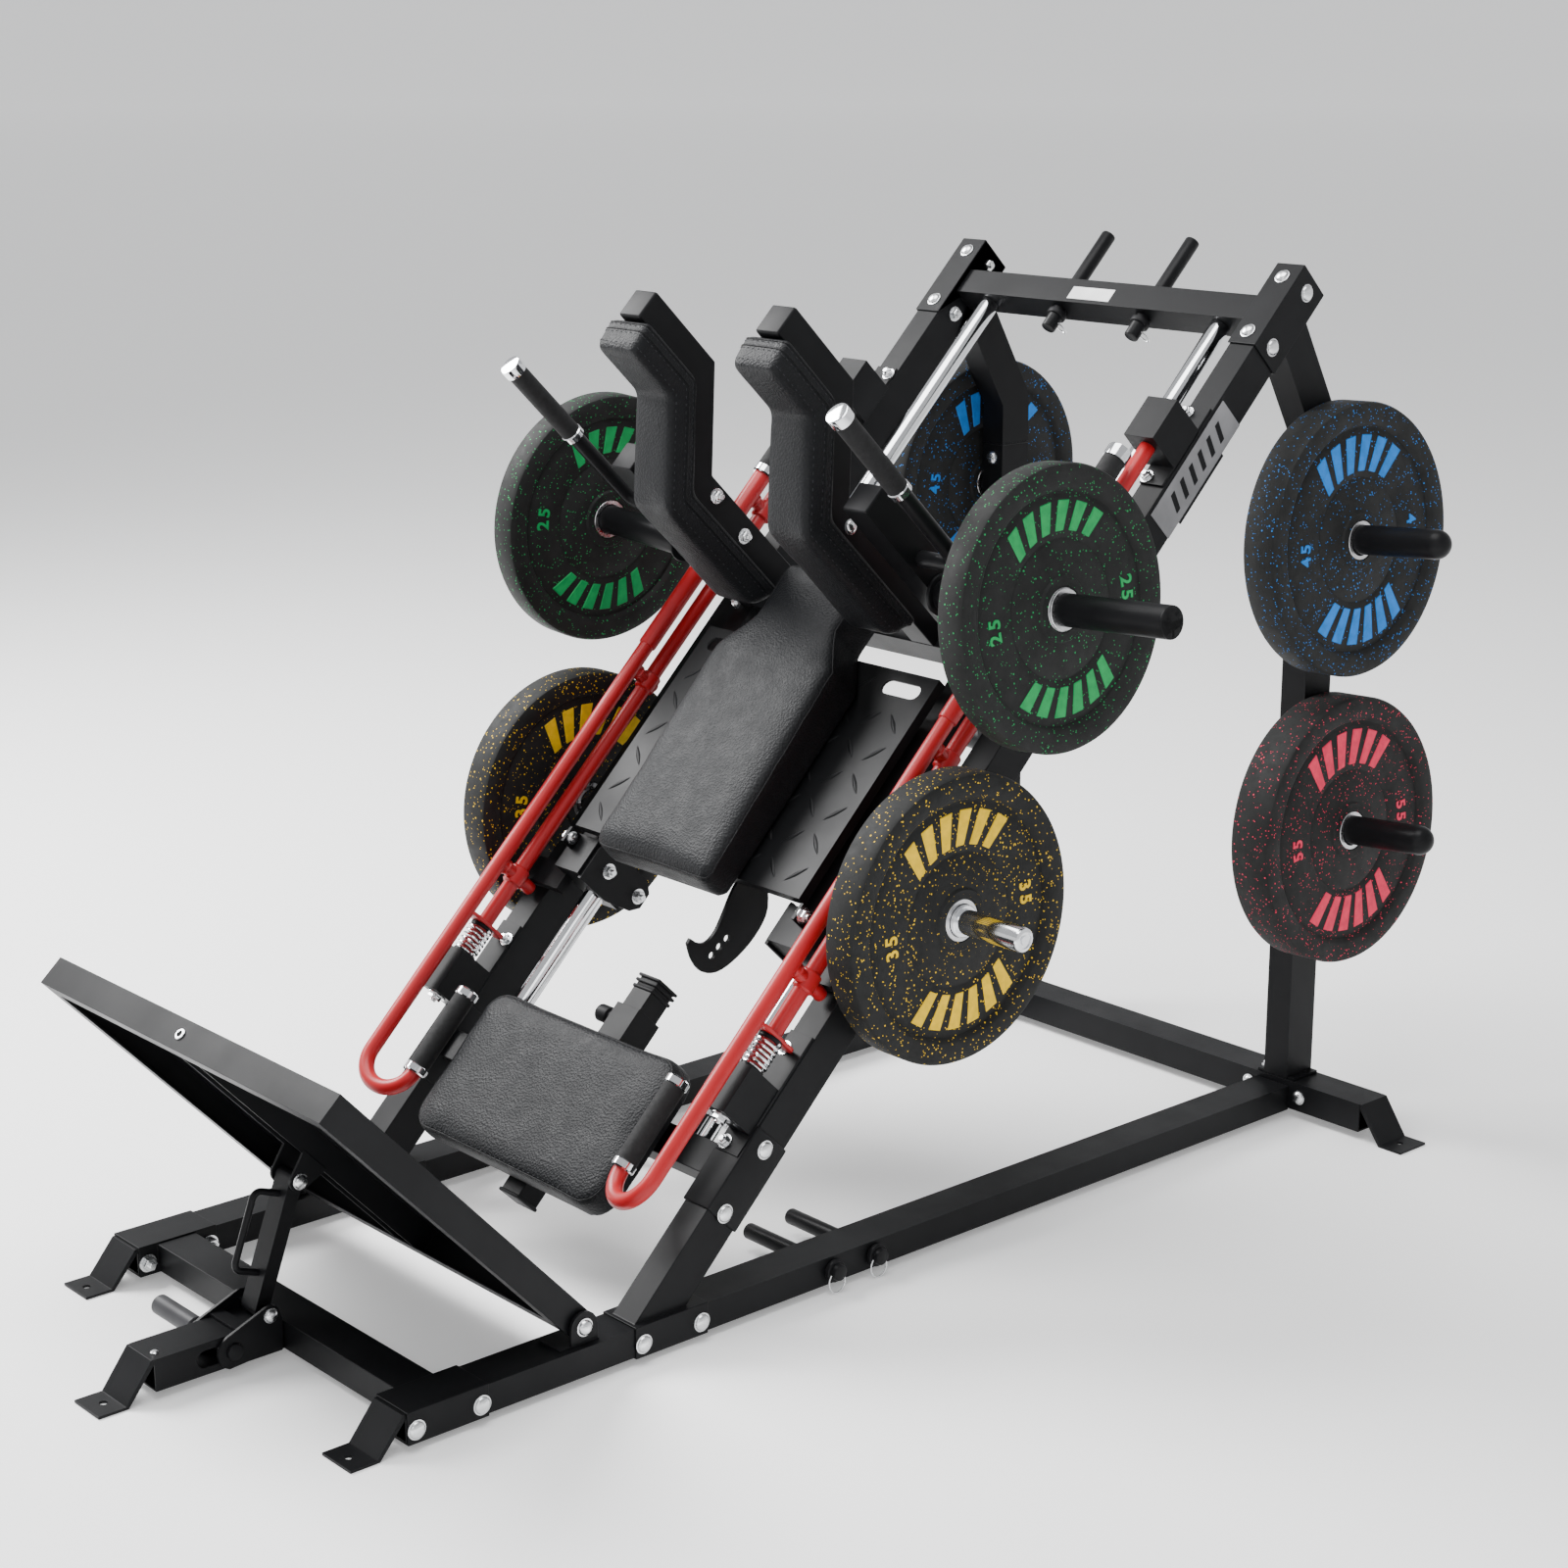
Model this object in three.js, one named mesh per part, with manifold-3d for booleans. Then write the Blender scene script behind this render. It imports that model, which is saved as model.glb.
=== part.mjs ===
// Plate-loaded leg press and hack squat machine.
// Millimetres, +Z up, +Y from the foot-plate end to the rear, X = 0 is the middle plane.
// The floor is Z = 0. Lengths along Y are first counted from the front ends of the floor rails.
// On the incline, local y runs up the slope (s) and local z stands off its front face (n).
import * as THREE from 'three';
import { mergeVertices } from 'three/addons/utils/BufferGeometryUtils.js';
import Module from 'manifold-3d';

const wasm = await Module();
wasm.setup();

// ---- driving dimensions -------------------------------------------------------------------
const GAP = 0.3;                 // clearance between pieces that touch
const WALL = 3;                  // wall of the frame tubes
const SIDES = [['left', -1], ['right', 1]];

const RAIL = { inner: 317.5, outer: 387.5, bottom: 12, top: 55, length: 1825.3 };
const FOOT = { thick: 4, drop: 42, reach: 88, holeAt: 69, holeRadius: 6 };
const SLEEVE = { wall: 2.3, long: 132 };          // box sleeve that wraps a rail
const CROSS = { front: 32, back: 97 };            // front cross tube along Y
const CENTRE = { half: 35, front: -172, top: 60 };
const REAR = { front: 1825.6, back: 1896, bottom: 14.7, top: 64.4, half: 537 };
const UPRIGHT = { inner: 330, outer: 380, front: 1828, back: 1894, bend: 1155, lean: 29.8 };

const SLOPE = 45.2;              // degrees between the incline and the floor
const FOOT_OF_SLOPE = { y: 392.5, z: 58.8 };
const BEAM = { inner: 329.8, outer: 379.8, deep: 66.7, splice: 255, top: 1959.6 };
const BASE_SLEEVE_Y = 385.5;
const ROD = { x: 260, n: -30, radius: 17, collar: 24, collarAt: 318, collarLong: 16 };
const LOWER_CROSS = { s0: 236, s1: 286, n0: -62, n1: -6 };
const UPPER_CROSS = { s0: 1852, s1: 1902, n0: -56, n1: -6 };
const TOP_BRACKET = { s0: 1797, plate: 3 };

const BAR = { x: 354, n: 52, radius: 12.5, outerN: 97, gripX: 261, gripN: 73, thickRadius: 15 };
const BAR_REACH = { bottom: 332, top: 1596, outerTop: 1498, bendCentre: 180, gripTop: 332 };
const CROSSBARS = [{ s: 544, end: 12 }, { s: 940, end: 35 }, { s: 1305, end: 35 }];
const CAM = { s: 446, thick: 6, radius: 18, endN: 25 };
const LOWER_HOUSING = { plate0: 276, plate1: 482, x0: 331, x1: 376, s0: 312, s1: 390, top: 74 };
const UPPER_HOUSING = { plate0: 1510, plate1: 1665, x0: 320, x1: 380, s0: 1545, s1: 1622, top: 78 };
const SPRING = { s0: 392, s1: 443, radius: 18, wire: 2.6, turns: 6 };

const CARRIAGE = { s0: 1128, s1: 1178, postInner: 247, postOuter: 297, postTop: 400 };
const LOW_BOX = { inner: 230, outer: 290, s0: 585, s1: 650, n0: -62, n1: 50 };
const HANGER = [                 // side plate on a lower bearing box, in side view
  [580, 44], [580, -24], [596, -80], [612, -96], [640, -96], [655, -78], [655, 44],
];
const HIGH_BOX = { inner: 230, outer: 297, s0: 1120, s1: 1186, n0: -62 };
const CROSS_TOP = 45;            // top of the carriage's cross tube
const SIDE_CHANNEL = { inner: 247, outer: 285, n1: 40 };
const CATCH = { s0: 556, s1: 600, n0: 8, n1: 26, reach: 375 };
const HORN = { x: 548, s: 1149, n: 203, radius: 24, end: 748, tilt: 3.5 };   // rises outward
const HANDLE = { x: 379, s: 1151, n: 264, top: 611, radius: 12.5, bend: 28 };
const BOARD = { half: 270, s0: 652, s1: 1058, top: 76, deep: 18, sheet: 4 };
const BOARD_SLOT = { x0: 168, x1: 248, s0: 1014, s1: 1040 };
const SECTOR = { x: 110, thick: 6 };
const ARM = { x: 158.5, half: 25, lowRear: 1178, highRear: 1309, bend0: 346, bend1: 466, top: 628 };
const SHOULDER = { half: 50, thick: 56, low: 112 };
const BACK = { s0: 604, s1: 1176, n0: 77, n1: 140, high: 160, half: 148, neck: 102, shoulder: 1000 };

const SEAT = { half: 240, s0: 100, s1: 368, n0: 8, n1: 55 };
const POST = { half: 22, s0: 88, s1: 460, n0: -45, n1: -1 };
const SEAT_SLEEVE = { s0: 335, s1: 425, wall: 4.6 };
const KNOB = { s: 406, radius: 14, reach: 78 };

const HINGE = { y: 305, z: 80.6, round: 22, pin: 6, tilt: 132.7 };
const TRAY = { half: 368.5, long: 573, top: -22, bottom: 24, wall: 5, sheet: 4, lip: 20 };
const CLEVIS = { at: 281.3, depth: 53.4, inner: 22, outer: 27, round: 16 };
const STRUT = { half: 19, thick: 20, pinHole: 6.8, looseHole: 7.6, y: 9, z: 72 };
const STRUT_HANDLE = { from: 26, to: 142, out: 52, radius: 5 };
const SLIDER = { inner: 36, outer: 41, pin: 5 };
const LOCK = { y: -51, z: 36, radius: 12, near: 46, far: -165, notch: 43 };

const PLATE = {
  radius: 225, bore: 26, segments: 28,
  green: { thick: 50, x: 523, radius: 210 }, yellow: { thick: 60, x: 443, radius: 220 },
  blue: { thick: 66, x: 423.2 }, pink: { thick: 78, x: 429.2 },
};
const STORE = { s: 739.6, n: -33.3, radius: 19, end: 600 };       // chrome horns on the beams
const PEG = { radius: 24, end: 625, tilt: 4.5, x: 461, heights: [1012, 523], plateTilt: 2.4 };
const BAND = { radius: 12.5, long: 210, topX: 94, topFrom: 1810, railY: [762, 847], railZ: 33, out: 406 };

const FRONT_REACH = CENTRE.front - FOOT.reach;
const REAR_REACH = (UPRIGHT.front + UPRIGHT.back) / 2 + PLATE.radius;

// ---- materials ----------------------------------------------------------------------------
const BLACK = { color: 0x17181a, roughness: 0.5, metalness: 0.55 };
const RED = { color: 0xb8232b, roughness: 0.38, metalness: 0.2 };
const CHROME = { color: 0xd6d8da, roughness: 0.12, metalness: 1 };
const LEATHER = { color: 0x1d1f22, roughness: 0.62, metalness: 0 };
const FOAM = { color: 0x101113, roughness: 0.85, metalness: 0 };
const RUBBER = { color: 0x161717, roughness: 0.8, metalness: 0 };

// ---- helpers ------------------------------------------------------------------------------
function solid(geometry) {
  const bare = geometry.clone();
  bare.deleteAttribute('normal');
  bare.deleteAttribute('uv');
  const merged = mergeVertices(bare, 1e-4);
  const vertProperties = new Float32Array(merged.attributes.position.array);
  const triVerts = new Uint32Array(merged.index.array);
  return new wasm.Manifold(new wasm.Mesh({ numProp: 3, vertProperties, triVerts }));
}

function geometryOf(manifold) {
  const mesh = manifold.getMesh();
  const geometry = new THREE.BufferGeometry();
  geometry.setAttribute('position', new THREE.BufferAttribute(mesh.vertProperties.slice(), 3));
  geometry.setIndex(new THREE.BufferAttribute(mesh.triVerts.slice(), 1));
  geometry.computeVertexNormals();
  return geometry;
}

function join(...pieces) {
  return geometryOf(pieces.map(solid).reduce((a, b) => a.add(b)));
}

function cut(base, ...tools) {
  return geometryOf(tools.map(solid).reduce((a, b) => a.subtract(b), solid(base)));
}

function common(a, b) {
  return geometryOf(solid(a).intersect(solid(b)));
}

// A box between two corners; each pair may come in either order.
function block(x0, x1, y0, y1, z0, z1) {
  const box = new THREE.BoxGeometry(Math.abs(x1 - x0), Math.abs(y1 - y0), Math.abs(z1 - z0));
  return box.translate((x0 + x1) / 2, (y0 + y1) / 2, (z0 + z1) / 2);
}

const AXIS = { x: new THREE.Vector3(1, 0, 0), y: new THREE.Vector3(0, 1, 0), z: new THREE.Vector3(0, 0, 1) };

// An outline in the y-z plane, drawn out along x.
function prism(outline, x0, x1) {
  const shape = new THREE.Shape(outline.map(([y, z]) => new THREE.Vector2(y, z)));
  const depth = Math.abs(x1 - x0);
  const body = new THREE.ExtrudeGeometry(shape, { depth, bevelEnabled: false });
  body.applyMatrix4(new THREE.Matrix4().makeBasis(AXIS.y, AXIS.z, AXIS.x));
  return body.translate(Math.min(x0, x1), 0, 0);
}

// Points of an arc about (y, z), from angle a0 to a1 in degrees.
function arc(y, z, radius, a0, a1, steps) {
  return Array.from({ length: steps + 1 }, (_, i) => {
    const angle = THREE.MathUtils.degToRad(a0 + ((a1 - a0) * i) / steps);
    return [y + radius * Math.cos(angle), z + radius * Math.sin(angle)];
  });
}

// A round bar between two points.
function bar(radius, from, to, sides = 16) {
  const a = new THREE.Vector3(...from);
  const b = new THREE.Vector3(...to);
  const body = new THREE.CylinderGeometry(radius, radius, a.distanceTo(b), sides);
  const turn = new THREE.Quaternion().setFromUnitVectors(AXIS.y, b.clone().sub(a).normalize());
  body.applyQuaternion(turn);
  return body.translate(...a.add(b).multiplyScalar(0.5).toArray());
}

// A body turned about the x axis: profile points are [radius, distance along x].
function turned(profile, segments) {
  const points = profile.map(([r, t]) => new THREE.Vector2(r, t));
  const body = new THREE.LatheGeometry([...points, points[0]], segments);
  return body.rotateZ(-Math.PI / 2);
}

// A route through corners with rounded bends, holding its own knots and directions.
class Route extends THREE.Curve {
  constructor(corners, bend, steps) {
    super();
    const points = corners.map((c) => new THREE.Vector3(...c));
    const first = points[1].clone().sub(points[0]).normalize();
    this.knots = [{ p: points[0], t: first }];
    for (let i = 1; i < points.length - 1; i += 1) {
      const into = points[i].clone().sub(points[i - 1]).normalize();
      const out = points[i + 1].clone().sub(points[i]).normalize();
      const angle = into.angleTo(out);
      const setback = bend * Math.tan(angle / 2);
      const start = points[i].clone().addScaledVector(into, -setback);
      const side = out.clone().addScaledVector(into, -out.dot(into)).normalize();
      const centre = start.clone().addScaledVector(side, bend);
      for (let k = 0; k <= steps; k += 1) {
        const turn = (angle * k) / steps;
        const p = centre.clone().addScaledVector(side, -bend * Math.cos(turn));
        p.addScaledVector(into, bend * Math.sin(turn));
        const t = into.clone().multiplyScalar(Math.cos(turn)).addScaledVector(side, Math.sin(turn));
        this.knots.push({ p, t });
      }
    }
    const last = points[points.length - 1];
    const end = last.clone().sub(points[points.length - 2]).normalize();
    this.knots.push({ p: last, t: end });
    this.knots = this.knots.filter((k, i, all) => i === 0 || k.p.distanceTo(all[i - 1].p) > 0.5);
  }

  getPoint(t) {
    const place = t * (this.knots.length - 1);
    const i = Math.min(Math.floor(place + 1e-6), this.knots.length - 2);
    return this.knots[i].p.clone().lerp(this.knots[i + 1].p, place - i);
  }

  getTangent(t) {
    return this.knots[Math.round(t * (this.knots.length - 1))].t.clone();
  }

  getUtoTmapping(u) {
    return u;
  }
}

function bentBar(radius, corners, bend, sides = 12, steps = 5) {
  const section = new THREE.Shape();
  for (let i = 0; i < sides; i += 1) {
    const angle = (2 * Math.PI * i) / sides;
    const move = i === 0 ? 'moveTo' : 'lineTo';
    section[move](radius * Math.cos(angle), radius * Math.sin(angle));
  }
  const route = new Route(corners, bend, steps);
  return new THREE.ExtrudeGeometry(section, {
    steps: route.knots.length - 1, extrudePath: route, bevelEnabled: false,
  });
}

const machine = new THREE.Group();
machine.position.y = -(FRONT_REACH + REAR_REACH) / 2;
const incline = new THREE.Group();
incline.position.set(0, FOOT_OF_SLOPE.y, FOOT_OF_SLOPE.z);
incline.rotation.x = THREE.MathUtils.degToRad(SLOPE);
const footPlate = new THREE.Group();
footPlate.position.set(0, HINGE.y, HINGE.z);
footPlate.rotation.x = THREE.MathUtils.degToRad(HINGE.tilt);
machine.add(incline, footPlate);

function add(group, name, geometry, look) {
  const mesh = new THREE.Mesh(geometry, new THREE.MeshStandardMaterial(look));
  mesh.name = name;
  group.add(mesh);
}

// A point of the incline's side view, in the frame's own y and z.
function fromSlope(s, n) {
  const angle = THREE.MathUtils.degToRad(SLOPE);
  const y = FOOT_OF_SLOPE.y + s * Math.cos(angle) - n * Math.sin(angle);
  const z = FOOT_OF_SLOPE.z + s * Math.sin(angle) + n * Math.cos(angle);
  return [y, z];
}

// Where a line in the side view meets the plane that stands n off the incline.
function meetSlope([y, z], [dy, dz], n) {
  const angle = THREE.MathUtils.degToRad(SLOPE);
  const [y0, z0] = fromSlope(0, n);
  const normal = [-Math.sin(angle), Math.cos(angle)];
  const t = ((y0 - y) * normal[0] + (z0 - z) * normal[1]) / (dy * normal[0] + dz * normal[1]);
  return [y + t * dy, z + t * dz];
}

// ---- floor frame --------------------------------------------------------------------------
// The bent foot plate, drawn in side view: u runs outward from the tube's end.
function footOutline(top) {
  const { thick, drop, reach } = FOOT;
  return [
    [1, top], [-thick, top], [-drop - thick, thick], [-reach, thick], [-reach, 0], [-drop, 0], [1, top - 6],
  ];
}

// A box sleeve around a rail, starting at y0.
function railSleeve(side, y0) {
  const lowX = RAIL.inner - GAP - SLEEVE.wall;
  const highX = RAIL.outer + GAP + SLEEVE.wall;
  const lowZ = RAIL.bottom - GAP - SLEEVE.wall;
  const highZ = RAIL.top + GAP + SLEEVE.wall;
  const shell = block(side * lowX, side * highX, y0, y0 + SLEEVE.long, lowZ, highZ);
  const hollow = block(
    side * (RAIL.inner - GAP), side * (RAIL.outer + GAP),
    y0 - 5, y0 + SLEEVE.long + 5, RAIL.bottom - GAP, RAIL.top + GAP,
  );
  return { shell, hollow };
}

function makeRail(name, side) {
  const { inner, outer, bottom, top, length } = RAIL;
  const middle = side * (inner + outer) / 2;
  const tube = block(side * inner, side * outer, 0, length, bottom, top);
  const bore = block(side * (inner + WALL), side * (outer - WALL), -5, length + 5, bottom + WALL, top - WALL);
  const foot = prism(footOutline(top), side * (inner + 1), side * (outer - 1));
  const anchorHole = bar(FOOT.holeRadius, [middle, -FOOT.holeAt, -5], [middle, -FOOT.holeAt, 15]);
  const earBase = block(side * 330, side * 377, 262, 330, top - 0.5, top + 2.3);
  const earShape = [...arc(HINGE.y, HINGE.z, 23, 0, 180, 8), [HINGE.y - 23, top], [HINGE.y + 23, top]];
  const ear = prism(earShape, side * 372, side * 377);
  const pinHole = bar(HINGE.pin + 0.7, [side * 365, HINGE.y, HINGE.z], [side * 385, HINGE.y, HINGE.z]);
  const pegHoles = BAND.railY.map((y) => (
    bar(BAND.radius + 0.4, [side * 300, y, BAND.railZ], [side * 400, y, BAND.railZ])
  ));
  const rail = join(cut(tube, bore), foot, earBase, ear);
  add(machine, `rail_${name}`, cut(rail, anchorHole, pinHole, ...pegHoles), BLACK);
}

function makeFrontCross() {
  const sleeves = SIDES.map(([, side]) => railSleeve(side, 0.5));
  const reach = RAIL.inner - GAP - 1;
  const tube = block(-reach, reach, CROSS.front, CROSS.back, RAIL.bottom, RAIL.top);
  const bore = block(
    -RAIL.inner, RAIL.inner, CROSS.front + WALL, CROSS.back - WALL, RAIL.bottom + WALL, RAIL.top - WALL,
  );
  const shape = join(tube, ...sleeves.map((s) => s.shell));
  add(machine, 'front_cross_member', cut(shape, bore, ...sleeves.map((s) => s.hollow)), BLACK);
}

function makeCentreTube() {
  const { half, front, top } = CENTRE;
  const back = CROSS.front - GAP;
  const tube = block(-half, half, front, back, RAIL.bottom, top);
  const bore = block(-half + WALL, half - WALL, front - 5, back + 5, RAIL.bottom + WALL, top - WALL);
  const foot = prism(footOutline(top), -half + 1, half - 1).translate(0, front, 0);
  const hole = bar(FOOT.holeRadius, [0, front - 62, -5], [0, front - 62, 15]);
  const slotRadius = LOCK.radius + 0.7;
  const slot = join(
    bar(slotRadius, [-60, LOCK.y, LOCK.z], [60, LOCK.y, LOCK.z]),
    bar(slotRadius, [-60, LOCK.y - LOCK.notch, LOCK.z], [60, LOCK.y - LOCK.notch, LOCK.z]),
    block(-60, 60, LOCK.y - LOCK.notch, LOCK.y, LOCK.z - slotRadius, LOCK.z + slotRadius),
  );
  add(machine, 'centre_tube', cut(join(cut(tube, bore), foot), hole, slot), BLACK);
}

function makeRearBeam() {
  const { front, back, bottom, top, half } = REAR;
  const middle = (front + back) / 2;
  const tube = block(-half, half, front, back, bottom, top);
  const bore = block(-half - 5, half + 5, front + WALL, back - WALL, bottom + WALL, top - WALL);
  const feet = SIDES.map(([, side]) => {
    const foot = prism(footOutline(top), front - middle + 1, back - middle - 1);
    return foot.rotateZ(side * Math.PI / 2).translate(side * half, middle, 0);
  });
  const holes = SIDES.map(([, side]) => (
    bar(FOOT.holeRadius, [side * 598, middle, -5], [side * 598, middle, 15])
  ));
  add(machine, 'rear_beam', cut(join(cut(tube, bore), ...feet), ...holes), BLACK);
}

// Side view of an upright: straight, then leaning forward until it meets the top bracket.
function uprightOutline(inset, past) {
  const { front, back, bend, lean } = UPRIGHT;
  const angle = THREE.MathUtils.degToRad(lean);
  const rise = (y) => bend + (y - front) * Math.tan(angle / 2);
  const direction = [-Math.sin(angle), Math.cos(angle)];
  const under = -BEAM.deep - GAP - TOP_BRACKET.plate - GAP;
  const frontY = front + inset;
  const backY = back - inset;
  const low = REAR.top + GAP - past;
  const highFront = meetSlope([frontY, rise(frontY)], direction, under + past);
  const highBack = meetSlope([backY, rise(backY)], direction, under + past);
  return [[frontY, low], [backY, low], [backY, rise(backY)], highBack, highFront, [frontY, rise(frontY)]];
}

function makeUpright(name, side) {
  const { inner, outer, front, back } = UPRIGHT;
  const middle = (front + back) / 2;
  const tube = prism(uprightOutline(0, 0), side * inner, side * outer);
  const bore = prism(uprightOutline(WALL, 8), side * (inner + WALL), side * (outer - WALL));
  const flange = block(
    side * (inner - 14), side * (outer + 14), front + 1, back - 1, REAR.top + GAP, REAR.top + 5,
  );
  const pegs = PEG.heights.map((height) => {
    const slope = Math.tan(THREE.MathUtils.degToRad(PEG.tilt));
    const at = (x) => [side * x, middle, height + (x - PEG.x) * slope];
    const dome = new THREE.SphereGeometry(PEG.radius, 20, 10);
    dome.translate(...at(PEG.end - PEG.radius));
    return join(bar(PEG.radius, at(outer - WALL), at(PEG.end - PEG.radius), 20), dome);
  });
  add(machine, `upright_${name}`, join(cut(join(tube, flange), bore), ...pegs), BLACK);
}

// ---- incline ------------------------------------------------------------------------------
function makeInclinePost(name, side) {
  const { inner, outer, deep, splice } = BEAM;
  const seatZ = RAIL.top + GAP + 1;
  const up = [fromSlope(1, 0)[0] - fromSlope(0, 0)[0], fromSlope(1, 0)[1] - fromSlope(0, 0)[1]];
  const lowAt = (n, z) => {
    const [y0, z0] = fromSlope(0, n);
    return [y0 + ((z - z0) / up[1]) * up[0], z];
  };
  const post = prism(
    [lowAt(0, seatZ), lowAt(-deep, seatZ), fromSlope(splice, -deep), fromSlope(splice, 0)],
    side * inner, side * outer,
  );
  const bore = prism(
    [
      lowAt(-WALL, 66), lowAt(-deep + WALL, 66),
      fromSlope(splice + 9, -deep + WALL), fromSlope(splice + 9, -WALL),
    ],
    side * (inner + WALL), side * (outer - WALL),
  );
  const sleeve = railSleeve(side, BASE_SLEEVE_Y);
  add(machine, `incline_post_${name}`, cut(join(post, sleeve.shell), bore, sleeve.hollow), BLACK);
}

function tubeAlongX(half, s0, s1, n0, n1) {
  return cut(
    block(-half, half, s0, s1, n0, n1),
    block(-half - 5, half + 5, s0 + WALL, s1 - WALL, n0 + WALL, n1 - WALL),
  );
}

function makeInclineBeam(name, side) {
  const { inner, outer, deep, splice, top } = BEAM;
  const tube = block(side * inner, side * outer, splice + GAP, top, -deep, 0);
  const bore = block(side * (inner + WALL), side * (outer - WALL), splice - 5, top + 5, -deep + WALL, -WALL);
  add(incline, `incline_beam_${name}`, cut(tube, bore), BLACK);

  const { s0, plate } = TOP_BRACKET;
  const shell = block(
    side * (inner - plate), side * (outer + GAP + plate),
    s0, top + GAP + plate, -deep - GAP - plate, GAP + plate,
  );
  const room = block(side * (inner - 9), side * (outer + GAP), s0 - 5, top + GAP, -deep - GAP, GAP);
  add(incline, `top_bracket_${name}`, cut(shell, room), BLACK);
}

function makeRodsAndCrossTubes() {
  const half = BEAM.inner - GAP;
  const { s0, s1, n0, n1 } = LOWER_CROSS;
  const room = block(-POST.half - GAP, POST.half + GAP, s0 - 5, s1 + 5, POST.n0 - GAP, n1 + 9);
  add(incline, 'lower_cross_tube', cut(tubeAlongX(half, s0, s1, n0, n1), room), BLACK);
  const upper = tubeAlongX(half, UPPER_CROSS.s0, UPPER_CROSS.s1, UPPER_CROSS.n0, UPPER_CROSS.n1);
  const holes = SIDES.map(([, side]) => (
    bar(
      BAND.radius + 0.4,
      [side * BAND.topX, UPPER_CROSS.s0 - 20, ROD.n], [side * BAND.topX, UPPER_CROSS.s1 + 20, ROD.n],
    )
  ));
  add(incline, 'upper_cross_tube', cut(upper, ...holes), BLACK);
  for (const [name, side] of SIDES) {
    const { radius, collar, collarAt, collarLong } = ROD;
    const from = LOWER_CROSS.s1 + GAP;
    const to = UPPER_CROSS.s0 - GAP;
    const profile = [
      [0, from], [radius, from], [radius, collarAt], [collar, collarAt],
      [collar, collarAt + collarLong], [radius, collarAt + collarLong], [radius, to], [0, to],
    ].map(([r, s]) => new THREE.Vector2(r, s));
    const rod = new THREE.LatheGeometry(profile, 20).translate(side * ROD.x, 0, ROD.n);
    add(incline, `guide_rod_${name}`, rod, CHROME);
    const from2 = [side * BAND.topX, BAND.topFrom, ROD.n];
    const to2 = [side * BAND.topX, BAND.topFrom + BAND.long, ROD.n];
    add(incline, `top_band_peg_${name}`, bar(BAND.radius, from2, to2), BLACK);
  }
}

function makeRailPegs() {
  for (const [name, side] of SIDES) {
    BAND.railY.forEach((y, i) => {
      const peg = bar(BAND.radius, [side * (BAND.out - BAND.long), y, BAND.railZ], [side * BAND.out, y, BAND.railZ]);
      add(machine, `rail_band_peg_${name}_${i + 1}`, peg, BLACK);
    });
  }
}

function makeHousing(name, side, spec, label, bore0, bore1) {
  const plate = block(side * 331, side * 378, spec.plate0, spec.plate1, GAP, 5);
  const body = block(side * spec.x0, side * spec.x1, spec.s0, spec.s1, 4, spec.top);
  const bore = bar(BAR.radius + 0.8, [side * BAR.x, bore0, BAR.n], [side * BAR.x, bore1, BAR.n]);
  add(incline, `${label}_${name}`, cut(join(plate, body), bore), BLACK);
}

function makeSpring(name, side) {
  const { s0, s1, radius, wire, turns } = SPRING;
  const corners = [];
  const perTurn = 10;
  const steps = turns * perTurn;
  for (let i = 0; i <= steps; i += 1) {
    const angle = (2 * Math.PI * i) / perTurn;
    const s = s0 + wire + ((s1 - s0 - 2 * wire) * i) / steps;
    corners.push([radius * Math.cos(angle), s, radius * Math.sin(angle)]);
  }
  const coil = bentBar(wire, corners, 0.01, 6, 1);
  add(incline, `return_spring_${name}`, coil.translate(side * BAR.x, 0, BAR.n), CHROME);
}

// ---- red safety bars ----------------------------------------------------------------------
function makeSafetyBar(name, side) {
  const x = side * BAR.x;
  const inner = bar(BAR.radius, [x, BAR_REACH.bottom, BAR.n], [x, BAR_REACH.top, BAR.n], 14);
  const gripX = side * BAR.gripX;
  const bendRadius = Math.hypot(BAR.x - BAR.gripX, BAR.outerN - BAR.gripN) / 2 - 0.5;
  const bottom = BAR_REACH.bendCentre - bendRadius;
  const outer = bentBar(BAR.radius, [
    [x, 985, BAR.outerN], [x, bottom, BAR.outerN], [gripX, bottom, BAR.gripN], [gripX, BAR_REACH.gripTop, BAR.gripN],
  ], bendRadius);
  const thick = bar(BAR.thickRadius, [x, 983, BAR.outerN], [x, BAR_REACH.outerTop, BAR.outerN], 14);
  const crossbars = CROSSBARS.map(({ s, end }) => bar(11, [x, s, BAR.outerN], [x, s, end], 12));
  const lobe = new THREE.Shape();
  lobe.absarc(0, BAR.outerN - 6 - CAM.endN, CAM.radius, 0, Math.PI, false);
  lobe.absarc(0, 0, CAM.radius, Math.PI, 2 * Math.PI, false);
  const cam = new THREE.ExtrudeGeometry(lobe, { depth: CAM.thick, bevelEnabled: false, curveSegments: 8 });
  cam.rotateX(Math.PI / 2);
  cam.computeBoundingBox();
  cam.translate(x, CAM.s - cam.boundingBox.min.y, CAM.endN - (cam.boundingBox.min.z + CAM.radius));
  add(incline, `safety_bar_${name}`, join(inner, outer, thick, ...crossbars, cam), RED);

  const gripFrom = BAR_REACH.bendCentre + 1;
  const lowerGrip = sleeveOn(BAR.radius, 17, [gripX, 0, BAR.gripN], gripFrom, BAR_REACH.gripTop - 1);
  add(incline, `lower_grip_${name}`, lowerGrip, FOAM);
  const upperGrip = sleeveOn(BAR.thickRadius, 18.5, [x, 0, BAR.outerN], 1350, BAR_REACH.outerTop - 1);
  add(incline, `upper_grip_${name}`, upperGrip, FOAM);
}

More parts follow.
